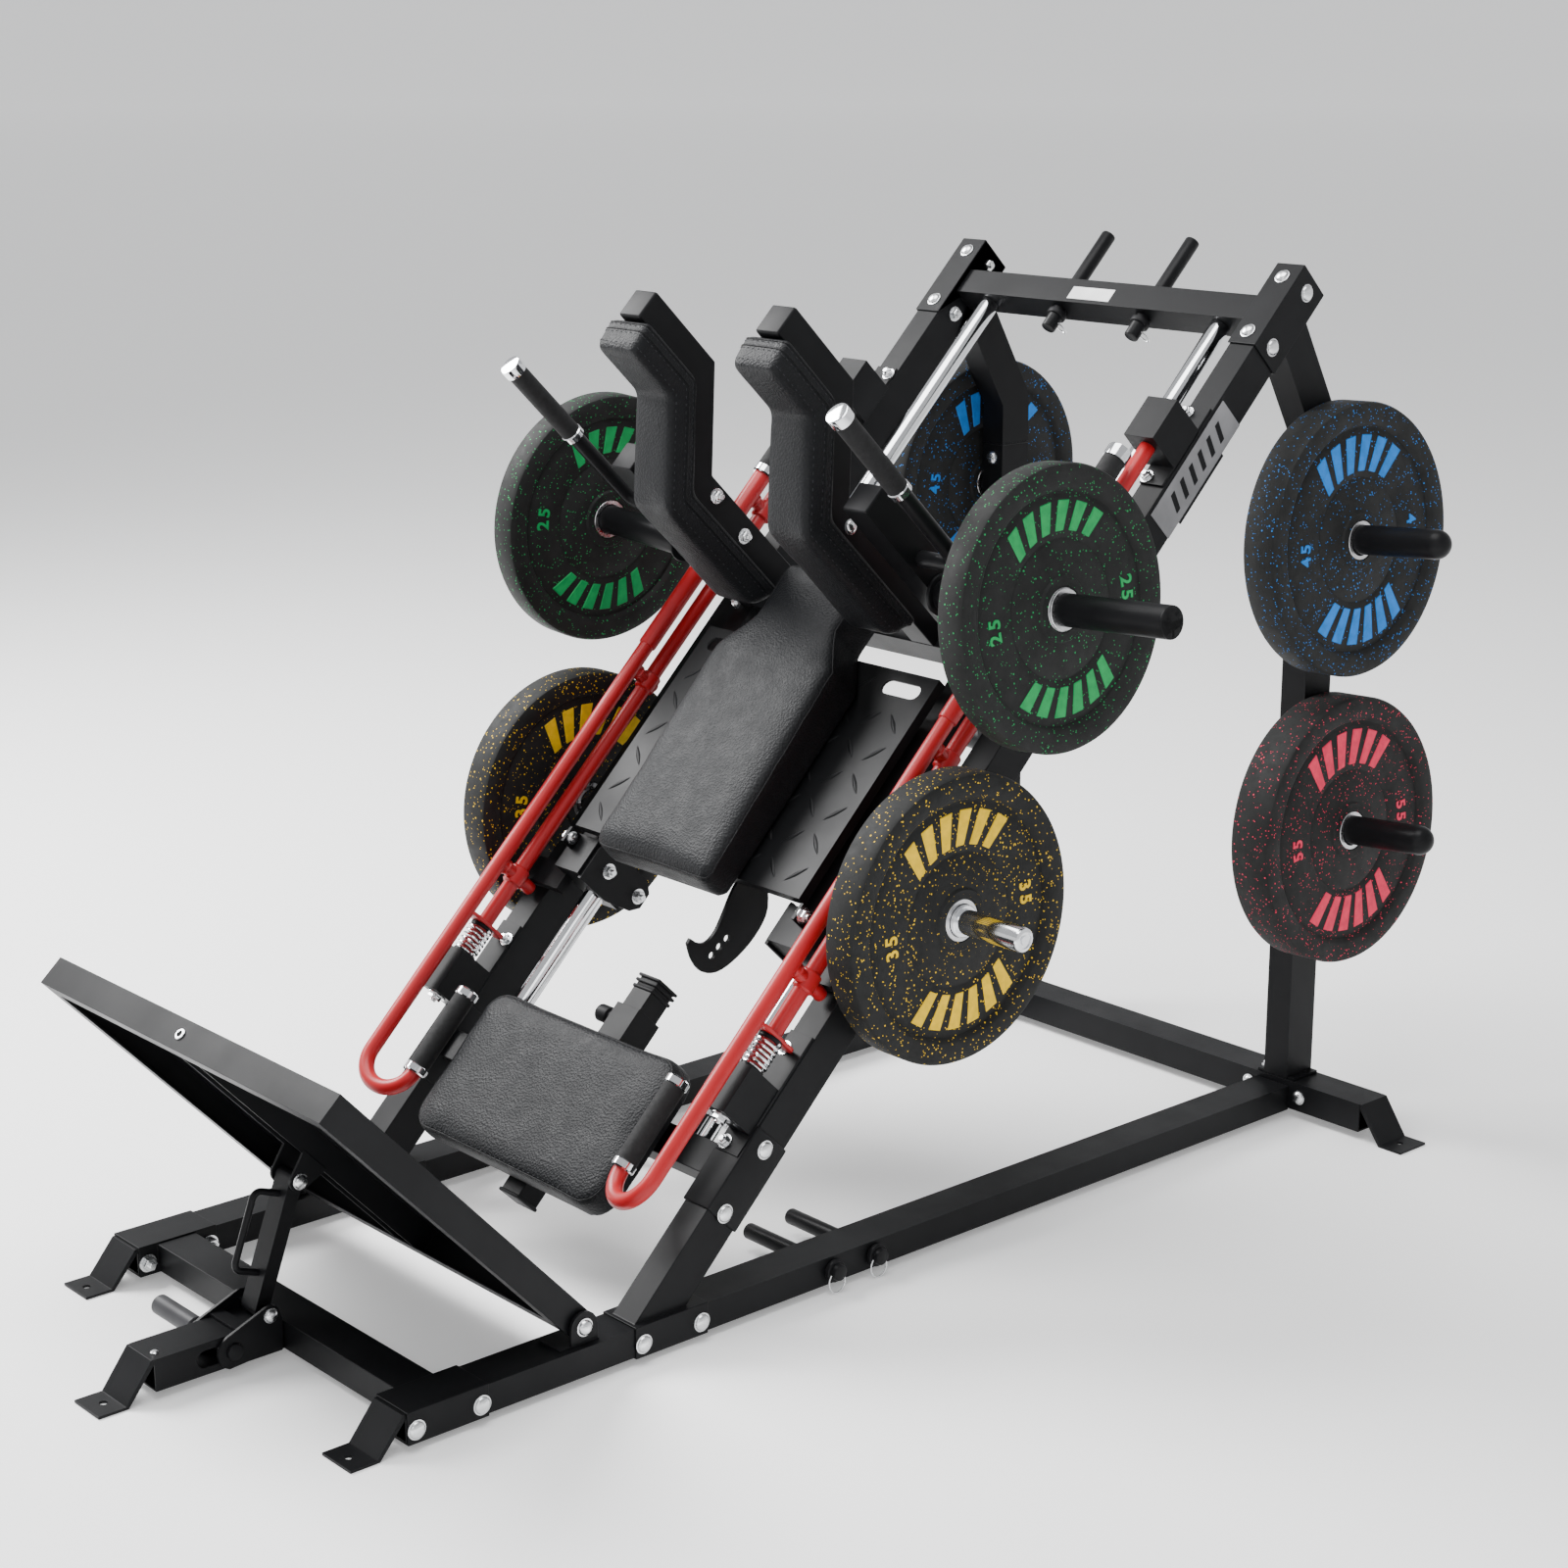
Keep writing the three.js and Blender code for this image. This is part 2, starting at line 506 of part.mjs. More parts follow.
// A hollow sleeve around a bar that runs up the slope.
function sleeveOn(barRadius, outerRadius, [x, , n], s0, s1) {
  const hole = barRadius + 0.4;
  const profile = [[hole, s0], [outerRadius, s0], [outerRadius, s1], [hole, s1], [hole, s0]];
  const sleeve = new THREE.LatheGeometry(profile.map(([r, s]) => new THREE.Vector2(r, s)), 16);
  return sleeve.translate(x, 0, n);
}

// ---- carriage -----------------------------------------------------------------------------
// A point on the centre line of a loading horn, which rises straight up towards its outer end.
function hornAt(side, x) {
  const slope = THREE.MathUtils.degToRad(SLOPE);
  const rise = (x - HORN.x) * Math.tan(THREE.MathUtils.degToRad(HORN.tilt));
  return [side * x, HORN.s + rise * Math.sin(slope), HORN.n + rise * Math.cos(slope)];
}

function makeCarriage() {
  const { s0, s1, postInner, postOuter, postTop } = CARRIAGE;
  const parts = [block(-postOuter, postOuter, s0, s1, -5, CROSS_TOP)];
  const holes = [block(-postInner - WALL, postInner + WALL, s0 + WALL, s1 - WALL, -5 + WALL, CROSS_TOP - WALL)];
  for (const [, side] of SIDES) {
    parts.push(block(side * postInner, side * postOuter, s0, s1, -5, postTop));
    holes.push(block(side * (postInner + WALL), side * (postOuter - WALL), s0 + WALL, s1 - WALL, -2, postTop + 5));
    parts.push(block(side * HIGH_BOX.inner, side * HIGH_BOX.outer, HIGH_BOX.s0, HIGH_BOX.s1, HIGH_BOX.n0, -4));
    parts.push(block(side * LOW_BOX.inner, side * LOW_BOX.outer, LOW_BOX.s0, LOW_BOX.s1, LOW_BOX.n0, LOW_BOX.n1));
    parts.push(block(
      side * SIDE_CHANNEL.inner, side * SIDE_CHANNEL.outer, LOW_BOX.s1 - 1, s0 + 1, -5, SIDE_CHANNEL.n1,
    ));
    holes.push(block(
      side * (SIDE_CHANNEL.inner + WALL), side * (SIDE_CHANNEL.outer - WALL),
      LOW_BOX.s1 + 1, HIGH_BOX.s0 - 1, -9, SIDE_CHANNEL.n1 - WALL,
    ));
    parts.push(block(side * 276, side * 282, 620, 648, LOW_BOX.n1 - 1, 74));
    parts.push(prism(HANGER, side * (LOW_BOX.inner - 6), side * (LOW_BOX.inner + 0.5)));
    parts.push(block(side * (LOW_BOX.outer - 8), side * CATCH.reach, CATCH.s0, CATCH.s1, CATCH.n0, CATCH.n1));
    const rodFrom = [side * ROD.x, LOW_BOX.s0 - 9, ROD.n];
    holes.push(bar(ROD.radius + 0.6, rodFrom, [side * ROD.x, HIGH_BOX.s1 + 9, ROD.n], 20));
  }
  let frame = solid(parts[0]);
  for (const part of parts.slice(1)) frame = frame.add(solid(part));
  for (const hole of holes) frame = frame.subtract(solid(hole));
  for (const [, side] of SIDES) {
    const root = postOuter - WALL + 0.5;
    frame = frame.add(solid(bar(HORN.radius, hornAt(side, root), hornAt(side, HORN.end), 24)));
    frame = frame.add(solid(bentBar(HANDLE.radius, [
      [side * root, HANDLE.s, HANDLE.n],
      [side * HANDLE.x, HANDLE.s, HANDLE.n],
      [side * HANDLE.x, HANDLE.s, HANDLE.top],
    ], HANDLE.bend)));
  }
  add(incline, 'carriage_frame', geometryOf(frame), BLACK);
}

function makeBoard() {
  const { half, s0, s1, top, deep, sheet } = BOARD;
  const outer = block(-half, half, s0, s1, top - deep, top);
  const inside = block(-half + sheet, half - sheet, s0 + sheet, s1 - sheet, top - deep - 5, top - sheet);
  const slots = SIDES.map(([, side]) => {
    const { x0, x1 } = BOARD_SLOT;
    const radius = (BOARD_SLOT.s1 - BOARD_SLOT.s0) / 2;
    const middle = (BOARD_SLOT.s0 + BOARD_SLOT.s1) / 2;
    return join(
      block(side * (x0 + radius), side * (x1 - radius), BOARD_SLOT.s0, BOARD_SLOT.s1, top - 9, top + 9),
      bar(radius, [side * (x0 + radius), middle, top - 9], [side * (x0 + radius), middle, top + 9]),
      bar(radius, [side * (x1 - radius), middle, top - 9], [side * (x1 - radius), middle, top + 9]),
    );
  });
  add(incline, 'tread_board', cut(outer, inside, ...slots), BLACK);

  const smooth = (points, steps) => (
    new THREE.SplineCurve(points.map(([s, n]) => new THREE.Vector2(s, n))).getPoints(steps).map((p) => [p.x, p.y])
  );
  const throat = smooth([[672, 56], [640, 54], [606, 45], [574, 38], [551, 42], [541, 56], [538, 73]], 18);
  const sweep = smooth([
    [529, 72], [516, 46], [513, 16], [530, -10], [566, -27], [612, -35], [655, -28], [688, 4],
  ], 24);
  const outline = [[672, top - sheet - GAP], ...throat, ...sweep, [690, 20], [690, top - sheet - GAP]];
  const plate = prism(outline, SECTOR.x - SECTOR.thick / 2, SECTOR.x + SECTOR.thick / 2);
  const pinHoles = [[542, 18], [560, 15], [578, 11]].map(([s, n]) => (
    bar(6, [SECTOR.x - 9, s, n], [SECTOR.x + 9, s, n], 14)
  ));
  add(incline, 'sector_plate', cut(plate, ...pinHoles), BLACK);
}

// Side view of an arm's rear edge moved forward by d, from the cross tube to the top.
function armLine(d, low, high) {
  const { lowRear, highRear, bend0, bend1 } = ARM;
  const angle = Math.atan2(highRear - lowRear, bend1 - bend0);
  const shift = d * Math.tan(angle / 2);
  return [[lowRear - d, low], [lowRear - d, bend0 + shift], [highRear - d, bend1 + shift], [highRear - d, high]];
}

function makeArmAndPad(name, side) {
  const { x, half, top } = ARM;
  const low = CROSS_TOP + GAP;
  const outline = [...armLine(0, low, top), ...armLine(50, low, top).reverse()];
  const hollow = [...armLine(WALL, low - 5, top - WALL), ...armLine(50 - WALL, low - 5, top - WALL).reverse()];
  const arm = prism(outline, side * (x - half), side * (x + half));
  const bore = prism(hollow, side * (x - half + WALL), side * (x + half - WALL));
  add(incline, `shoulder_arm_${name}`, cut(arm, bore), BLACK);

  const back = armLine(50 + GAP, SHOULDER.low, top - 6);
  const front = armLine(50 + SHOULDER.thick, SHOULDER.low + 34, top - 12).reverse();
  const pad = prism([...back, ...front], side * (x - SHOULDER.half), side * (x + SHOULDER.half));
  add(incline, `shoulder_pad_${name}`, pad, LEATHER);
}

function makeBackPad() {
  const { s0, s1, n0, n1, high, half, neck, shoulder } = BACK;
  const side = [[s0, n0], [s1, n0], [s1, high - 4], [shoulder, high], [s0 + 12, n1], [s0, n1 - 14]];
  const plan = new THREE.Shape([
    [-half + 14, s0], [half - 14, s0], [half, s0 + 16], [half, shoulder - 6], [neck, shoulder + 64], [neck, s1],
    [-neck, s1], [-neck, shoulder + 64], [-half, shoulder - 6], [-half, s0 + 16],
  ].map(([x, s]) => new THREE.Vector2(x, s)));
  const block3 = new THREE.ExtrudeGeometry(plan, { depth: 120, bevelEnabled: false }).translate(0, 0, n0 - 9);
  add(incline, 'back_pad', common(prism(side, -200, 200), block3), LEATHER);
}

// ---- seat ---------------------------------------------------------------------------------
function makeSeat() {
  const { half, s0, s1, n0, n1 } = SEAT;
  const radius = 42;
  const bevel = 8;
  const w = half - bevel;
  const low = s0 + bevel;
  const high = s1 - bevel;
  const corner = (x, s, a0) => arc(x, s, radius - bevel, a0, a0 + 90, 4);
  const outline = [
    ...corner(w - radius + bevel, high - radius + bevel, 0),
    ...corner(-w + radius - bevel, high - radius + bevel, 90),
    ...corner(-w + radius - bevel, low + radius - bevel, 180),
    ...corner(w - radius + bevel, low + radius - bevel, 270),
  ];
  const shape = new THREE.Shape(outline.map(([x, s]) => new THREE.Vector2(x, s)));
  const pad = new THREE.ExtrudeGeometry(shape, {
    depth: n1 - n0 - 2 * bevel, bevelEnabled: true, bevelThickness: bevel, bevelSize: bevel, bevelSegments: 1,
  });
  add(incline, 'seat_pad', pad.translate(0, 0, n0 + bevel), LEATHER);

  const tube = block(-POST.half, POST.half, POST.s0, POST.s1, POST.n0, POST.n1);
  const inner = POST.half - WALL;
  const bore = block(-inner, inner, POST.s0 - 5, POST.s1 - WALL, POST.n0 + WALL, POST.n1 - WALL);
  add(incline, 'seat_post', cut(tube, bore), BLACK);

  const out = POST.half + SEAT_SLEEVE.wall;
  const shell = block(-out, out, SEAT_SLEEVE.s0, SEAT_SLEEVE.s1, POST.n0 - SEAT_SLEEVE.wall, POST.n1 + 6);
  const backing = block(-70, 70, 140, s1 - 6, n0 - 4, n0 - GAP);
  const room = block(-POST.half - 0.4, POST.half + 0.4, 300, 460, POST.n0 - 0.4, POST.n1 + 0.4);
  const middle = (POST.n0 + POST.n1) / 2;
  const pinHole = bar(5.4, [-15, KNOB.s, middle], [-60, KNOB.s, middle], 12);
  add(incline, 'seat_sleeve', cut(join(shell, backing), room, pinHole), BLACK);

  const shaft = bar(5, [-POST.half - 1, KNOB.s, middle], [-60, KNOB.s, middle], 12);
  const grip = bar(KNOB.radius, [-42, KNOB.s, middle], [-KNOB.reach, KNOB.s, middle], 14);
  add(incline, 'seat_pull_pin', join(shaft, grip), BLACK);
}

// ---- hinged foot plate --------------------------------------------------------------------
function makeFootTray() {
  const { half, long, top, bottom, wall, sheet, lip } = TRAY;
  const outline = [...arc(0, 0, HINGE.round, 90, 270, 8), [long, top], [long, bottom]];
  const outer = prism(outline, -half, half);
  const w = half - wall;
  const inside = block(-w, w, 20, long - wall, top + sheet, bottom - sheet);
  const opening = block(-half + wall + lip, half - wall - lip, 42, long - wall - lip, bottom - 9, bottom + 9);
  const heel = block(-w, w, -30, 15, top + 5, bottom + 9);
  const ribs = SIDES.map(([, side]) => block(side * 22, side * 25, 19, long - 3, top + 2, bottom - sheet + 1));
  const cheek = [
    ...arc(CLEVIS.at, CLEVIS.depth, CLEVIS.round, 0, 180, 8),
    [CLEVIS.at - 26, bottom - 8], [CLEVIS.at + 26, bottom - 8],
  ];
  const cheeks = SIDES.map(([, side]) => prism(cheek, side * CLEVIS.inner, side * CLEVIS.outer));
  const clevisPin = bar(6, [-31, CLEVIS.at, CLEVIS.depth], [31, CLEVIS.at, CLEVIS.depth], 14);
  const pins = SIDES.map(([, side]) => bar(HINGE.pin, [side * (half - 3), 0, 0], [side * 381, 0, 0], 14));
  const tray = join(cut(outer, inside, opening, heel), ...ribs, ...cheeks, clevisPin, ...pins);
  add(footPlate, 'foot_tray', tray, BLACK);
}

function makeStrutAndSlider() {
  const tilt = THREE.MathUtils.degToRad(HINGE.tilt);
  const topY = HINGE.y + CLEVIS.at * Math.cos(tilt) - CLEVIS.depth * Math.sin(tilt);
  const topZ = HINGE.z + CLEVIS.at * Math.sin(tilt) + CLEVIS.depth * Math.cos(tilt);
  const long = Math.hypot(topY - STRUT.y, topZ - STRUT.z);
  const lean = Math.atan2(topZ - STRUT.z, topY - STRUT.y);
  const strut = new THREE.Group();
  strut.position.set(0, STRUT.y, STRUT.z);
  strut.rotation.x = lean;
  machine.add(strut);
  const r = STRUT.thick / 2 + 1.3;
  const outline = [...arc(0, 0, r, 90, 270, 8), ...arc(long, 0, r, -90, 90, 8)];
  const { from, to, out, radius } = STRUT_HANDLE;
  const handle = bentBar(radius, [
    [0, long - from, 5], [0, long - from, out], [0, long - to, out], [0, long - to, 5],
  ], 12, 8, 3);
  const body = cut(
    join(prism(outline, -STRUT.half, STRUT.half), handle),
    bar(STRUT.pinHole, [-40, long, 0], [40, long, 0], 14),
    bar(STRUT.looseHole, [-40, 0, 0], [40, 0, 0], 14),
  );
  add(strut, 'support_strut', body, BLACK);

  const cheek = [
    ...arc(LOCK.y, LOCK.z, 26, 110, 250, 8), [-30, 14], [26, 14], [28, 60], ...arc(STRUT.y, STRUT.z, 15, 10, 115, 5),
  ];
  const cheeks = SIDES.map(([, side]) => prism(cheek, side * SLIDER.inner, side * SLIDER.outer));
  const bridge = block(-SLIDER.outer, SLIDER.outer, -44, -22, CENTRE.top + 1, CENTRE.top + 5);
  const pin = bar(SLIDER.pin, [-SLIDER.outer - 4, STRUT.y, STRUT.z], [SLIDER.outer + 4, STRUT.y, STRUT.z], 14);
  const hole = bar(LOCK.radius + 0.5, [-60, LOCK.y, LOCK.z], [60, LOCK.y, LOCK.z]);
  add(machine, 'slider_bracket', cut(join(...cheeks, bridge, pin), hole), BLACK);
  add(machine, 'lock_pin', bar(LOCK.radius, [LOCK.far, LOCK.y, LOCK.z], [LOCK.near, LOCK.y, LOCK.z]), BLACK);
}

// ---- weight plates ------------------------------------------------------------------------
// Raised rim, sunk ring and a hub, the same on both faces; x = 0 is the middle of the thickness.
function weightPlate(thick, radius) {
  const { bore, segments } = PLATE;
  const rim = thick / 2;
  const half = [
    [radius, rim - 3], [radius - 3, rim], [radius - 31, rim], [radius - 35, rim - 7], [104, rim - 7], [bore, rim - 3],
  ];
  const back = half.map(([r, t]) => [r, -t]).reverse();
  return turned([...back, ...half], segments);
}

function makePlates() {
  for (const [name, side] of SIDES) {
    const { thick, x, radius } = PLATE.green;
    const along = new THREE.Vector3(...hornAt(1, 1)).sub(new THREE.Vector3(...hornAt(1, 0))).normalize();
    along.x *= side;
    const turn = new THREE.Quaternion().setFromUnitVectors(new THREE.Vector3(side, 0, 0), along);
    const green = weightPlate(thick, radius).applyQuaternion(turn).translate(...hornAt(side, x));
    add(incline, `carriage_plate_${name}`, green, RUBBER);
    const stored = PLATE.yellow;
    const yellow = weightPlate(stored.thick, stored.radius).translate(side * stored.x, STORE.s, STORE.n);
    add(incline, `stored_plate_${name}`, yellow, RUBBER);
    const root = [side * (BEAM.outer + GAP), STORE.s, STORE.n];
    const horn = bar(STORE.radius, root, [side * STORE.end, STORE.s, STORE.n], 24);
    add(incline, `storage_horn_${name}`, horn, CHROME);
  }
  const middle = (UPRIGHT.front + UPRIGHT.back) / 2;
  const rear = [
    ['rear_plate_upper_left', -1, 0, PLATE.blue],
    ['rear_plate_upper_right', 1, 0, PLATE.blue],
    ['rear_plate_lower_right', 1, 1, PLATE.pink],
  ];
  for (const [name, side, level, { thick, x }] of rear) {
    const rise = (x - PEG.x) * Math.tan(THREE.MathUtils.degToRad(PEG.tilt));
    const plate = weightPlate(thick, PLATE.radius).rotateY(-side * THREE.MathUtils.degToRad(PEG.plateTilt));
    plate.translate(side * x, middle, PEG.heights[level] + rise);
    add(machine, name, plate, RUBBER);
  }
}

// ---- assembly -----------------------------------------------------------------------------
makeFrontCross();
makeCentreTube();
makeRearBeam();
makeRodsAndCrossTubes();
makeRailPegs();
for (const [name, side] of SIDES) {
  makeRail(name, side);
  makeUpright(name, side);
  makeInclinePost(name, side);
  makeInclineBeam(name, side);
  makeHousing(name, side, LOWER_HOUSING, 'lower_housing', 328, LOWER_HOUSING.s1 + 9);
  makeHousing(name, side, UPPER_HOUSING, 'upper_housing', UPPER_HOUSING.s0 - 9, 1600);
  makeSpring(name, side);
  makeSafetyBar(name, side);
  makeArmAndPad(name, side);
}
makeCarriage();
makeBoard();
makeBackPad();
makeSeat();
makeFootTray();
makeStrutAndSlider();
makePlates();

export default machine;
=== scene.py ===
"""Plate-loaded leg press and hack squat machine, dressed over its CAD frame.

Lengths are in millimetres inside each local frame and become metres when a piece is placed.
On the slope, x is across, y runs up the incline and z stands off its front face.
"""

from math import atan2, ceil, cos, hypot, pi, radians, sin, tan

import bmesh
import bpy
import numpy as np
from mathutils import Matrix, Vector
from mathutils.bvhtree import BVHTree


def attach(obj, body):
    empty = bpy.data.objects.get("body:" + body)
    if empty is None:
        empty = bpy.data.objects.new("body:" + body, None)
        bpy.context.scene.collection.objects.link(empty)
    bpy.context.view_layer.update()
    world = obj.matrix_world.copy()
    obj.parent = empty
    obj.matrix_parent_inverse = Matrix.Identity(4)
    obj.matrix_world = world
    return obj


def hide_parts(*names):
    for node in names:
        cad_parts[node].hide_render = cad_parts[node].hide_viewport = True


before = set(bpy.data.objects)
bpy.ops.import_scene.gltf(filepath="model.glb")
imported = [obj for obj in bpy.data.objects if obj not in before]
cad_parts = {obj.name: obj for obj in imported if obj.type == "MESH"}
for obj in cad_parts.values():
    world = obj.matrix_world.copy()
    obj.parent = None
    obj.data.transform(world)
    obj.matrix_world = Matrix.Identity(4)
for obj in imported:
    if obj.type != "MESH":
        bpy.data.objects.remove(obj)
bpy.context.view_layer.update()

# ---- local frames ----
SIDES = (("left", -1), ("right", 1))


def turn(angle, axis="X"):
    return Matrix.Rotation(radians(angle), 4, axis)


def shift(x, y, z):
    return Matrix.Translation((x, y, z))


INCLINE = 45.2

# FLOOR: y runs back along the floor. SLOPE: y runs up the incline. TRAY: y runs up the foot plate
# from its hinge, z off its underside. PROP: y runs up the strut from its lower pin.
FLOOR = shift(0, -0.913, 0) @ Matrix.Scale(0.001, 4)
SLOPE = FLOOR @ shift(0, 392.5, 58.8) @ turn(INCLINE)
TRAY = FLOOR @ shift(0, 305, 80.6) @ turn(132.7)
PROP = FLOOR @ shift(0, 9, 72) @ turn(69.77)


# ---- camera, floor and light ----
def make_camera():
    data = bpy.data.cameras.new("view")
    data.lens = 66.33
    data.sensor_width = 36
    camera = bpy.data.objects.new("view", data)
    camera.location = (3.3104, -2.835, 1.8353)
    camera.rotation_euler = (radians(75.11), 0, radians(48.49))
    bpy.context.scene.collection.objects.link(camera)
    bpy.context.scene.camera = camera


def area_light(name, place, aim, size, power):
    data = bpy.data.lights.new(name, "AREA")
    data.shape = "RECTANGLE"
    data.size, data.size_y = size
    data.energy = power
    light = bpy.data.objects.new(name, data)
    light.location = place
    light.rotation_euler = (Vector(aim) - Vector(place)).to_track_quat("-Z", "Y").to_euler()
    bpy.context.scene.collection.objects.link(light)


def make_floor():
    """A wide flat floor that curves up into a wall far away."""
    flat, curve, top, steps, sides = 60, 14, 30, 16, 96
    profile = [(0.001, 0), (8, 0), (flat, 0)]
    for i in range(1, steps + 1):
        a = pi / 2 * i / steps
        profile.append((flat + curve * sin(a), curve - curve * cos(a)))
    profile.append((flat + curve, top))
    rows = len(profile)
    points = []
    faces = []
    for i in range(sides):
        a = 2 * pi * i / sides
        k = (i + 1) % sides
        points += [(r * cos(a), r * sin(a), z) for r, z in profile]
        for j in range(rows - 1):
            faces.append((i * rows + j, k * rows + j, k * rows + j + 1, i * rows + j + 1))
    faces.append(tuple(i * rows for i in range(sides))[::-1])
    mesh = bpy.data.meshes.new("floor")
    mesh.from_pydata(points, [], faces)
    mesh.shade_smooth()
    pale = bpy.data.materials.new("pale_floor")
    pale.use_nodes = True
    shader = pale.node_tree.nodes["Principled BSDF"]
    shader.inputs["Base Color"].default_value = (0.95, 0.95, 0.95, 1)
    shader.inputs["Roughness"].default_value = 0.7
    shader.inputs["Emission Color"].default_value = (1, 1, 1, 1)
    shader.inputs["Emission Strength"].default_value = 0.25
    mesh.materials.append(pale)
    floor = bpy.data.objects.new("floor", mesh)
    floor.location.z = -0.0005
    bpy.context.scene.collection.objects.link(floor)


def make_lights():
    world = bpy.data.worlds.new("studio")
    world.use_nodes = True
    sky = world.node_tree.nodes["Background"]
    sky.inputs["Color"].default_value = (0.97, 0.98, 1, 1)
    sky.inputs["Strength"].default_value = 0.6
    bpy.context.scene.world = world
    area_light("key", (-3.6, -1.4, 3.9), (0, 0, 0.6), (2.8, 2.8), 600)
    area_light("top", (0.2, -0.6, 5.2), (0, 0, 0.4), (3.4, 3.4), 250)
    area_light("side", (3.4, -4.4, 3.2), (0, 0, 0.7), (2.0, 2.0), 30)


# ---- materials ----
class Surface:
    """A node material: a colour and roughness that vary a little, and a bumped grain."""

    def __init__(self, name, colour, metallic=0.0, roughness=0.5, coat=0.0, specular=0.5):
        self.material = bpy.data.materials.new(name)
        self.material.use_nodes = True
        self.tree = self.material.node_tree
        self.shader = self.tree.nodes["Principled BSDF"]
        self.shader.inputs["Metallic"].default_value = metallic
        self.shader.inputs["Coat Weight"].default_value = coat
        self.shader.inputs["Coat Roughness"].default_value = 0.18
        self.shader.inputs["Specular IOR Level"].default_value = specular
        self.colour = colour
        self.roughness = roughness
        self.where = self.node("ShaderNodeTexCoord").outputs["Object"]
        self.height = None

    def node(self, kind, **values):
        made = self.tree.nodes.new(kind)
        for key, value in values.items():
            setattr(made, key, value)
        return made

    def wire(self, source, target):
        self.tree.links.new(source, target)

    def noise(self, scale, detail=3.0, rough=0.55):
        made = self.node("ShaderNodeTexNoise")
        made.inputs["Scale"].default_value = scale
        made.inputs["Detail"].default_value = detail
        made.inputs["Roughness"].default_value = rough
        self.wire(self.where, made.inputs["Vector"])
        return made.outputs["Fac"]

    def cells(self, scale):
        made = self.node("ShaderNodeTexVoronoi")
        made.inputs["Scale"].default_value = scale
        self.wire(self.where, made.inputs["Vector"])
        return made.outputs

    def ranged(self, value, a0, a1, b0, b1):
        made = self.node("ShaderNodeMapRange")
        self.wire(value, made.inputs["Value"])
        for key, number in zip(("From Min", "From Max", "To Min", "To Max"), (a0, a1, b0, b1)):
            made.inputs[key].default_value = number
        return made.outputs["Result"]

    def maths(self, kind, a, b):
        made = self.node("ShaderNodeMath", operation=kind)
        for i, value in enumerate((a, b)):
            if isinstance(value, (int, float)):
                made.inputs[i].default_value = value
            else:
                self.wire(value, made.inputs[i])
        return made.outputs[0]

    def mixed(self, factor, a, b):
        made = self.node("ShaderNodeMix", data_type="RGBA")
        self.wire(factor, made.inputs["Factor"])
        for socket, value in ((made.inputs[6], a), (made.inputs[7], b)):
            if isinstance(value, tuple):
                socket.default_value = (*value, 1)
            else:
                self.wire(value, socket)
        return made.outputs[2]

    def mottle(self, scale, low=0.82, high=1.2):
        dark = tuple(c * low for c in self.colour)
        light = tuple(min(1, c * high) for c in self.colour)
        made = self.mixed(self.ranged(self.noise(scale), 0.3, 0.7, 0, 1), dark, light)
        self.wire(made, self.shader.inputs["Base Color"])
        return made

    def sheen_range(self, scale, spread):
        low, high = self.roughness - spread, self.roughness + spread
        value = self.ranged(self.noise(scale, 4), 0.3, 0.7, low, high)
        self.wire(value, self.shader.inputs["Roughness"])

    def bump(self, height, strength, distance, invert=False):
        made = self.node("ShaderNodeBump", invert=invert)
        made.inputs["Strength"].default_value = strength
        made.inputs["Distance"].default_value = distance
        self.wire(height, made.inputs["Height"])
        if self.height is not None:
            self.wire(self.height, made.inputs["Normal"])
        self.height = made.outputs["Normal"]
        self.wire(self.height, self.shader.inputs["Normal"])


def powder_coat(name, colour, roughness=0.42, grain=900):
    look = Surface(name, colour, 0.0, roughness, 0.0, 0.12)
    look.mottle(14, 0.85, 1.2)
    look.sheen_range(9, 0.05)
    look.bump(look.noise(grain, 2), 0.12, 0.0006)
    return look.material


def gloss_paint(name, colour):
    look = Surface(name, colour, 0.0, 0.4, 0.12, 0.3)
    look.mottle(11, 0.92, 1.06)
    look.sheen_range(16, 0.05)
    look.bump(look.noise(260, 2), 0.05, 0.0005)
    return look.material


def metal(name, colour, roughness, spread=0.03, scale=40):
    look = Surface(name, colour, 1.0, roughness)
    look.mottle(scale, 0.94, 1.04)
    look.sheen_range(scale, spread)
    look.bump(look.noise(scale * 20, 2), 0.03, 0.0003)
    return look.material


def leather(name, colour, roughness=0.54):
    look = Surface(name, colour, 0.0, roughness, 0.0, 0.2)
    look.mottle(5, 0.94, 1.08)
    look.sheen_range(30, 0.05)
    look.bump(look.noise(9, 2), 0.04, 0.004)
    look.bump(look.cells(270)["Distance"], 0.6, 0.0013)
    look.bump(look.cells(620)["Distance"], 0.3, 0.0006)
    look.bump(look.noise(1500, 2), 0.25, 0.0003)
    return look.material


def raised_mark(name, colour):
    look = Surface(name, colour, 0.0, 0.6, 0.0, 0.25)
    look.mottle(60, 0.82, 1.1)
    look.sheen_range(40, 0.05)
    look.bump(look.noise(900, 3), 0.2, 0.0005)
    return look.material


def foam(name, colour):
    look = Surface(name, colour, 0.0, 0.78, 0.0, 0.35)
    look.mottle(300, 0.8, 1.3)
    look.sheen_range(120, 0.06)
    look.bump(look.noise(1400, 3), 0.35, 0.0006)
    return look.material


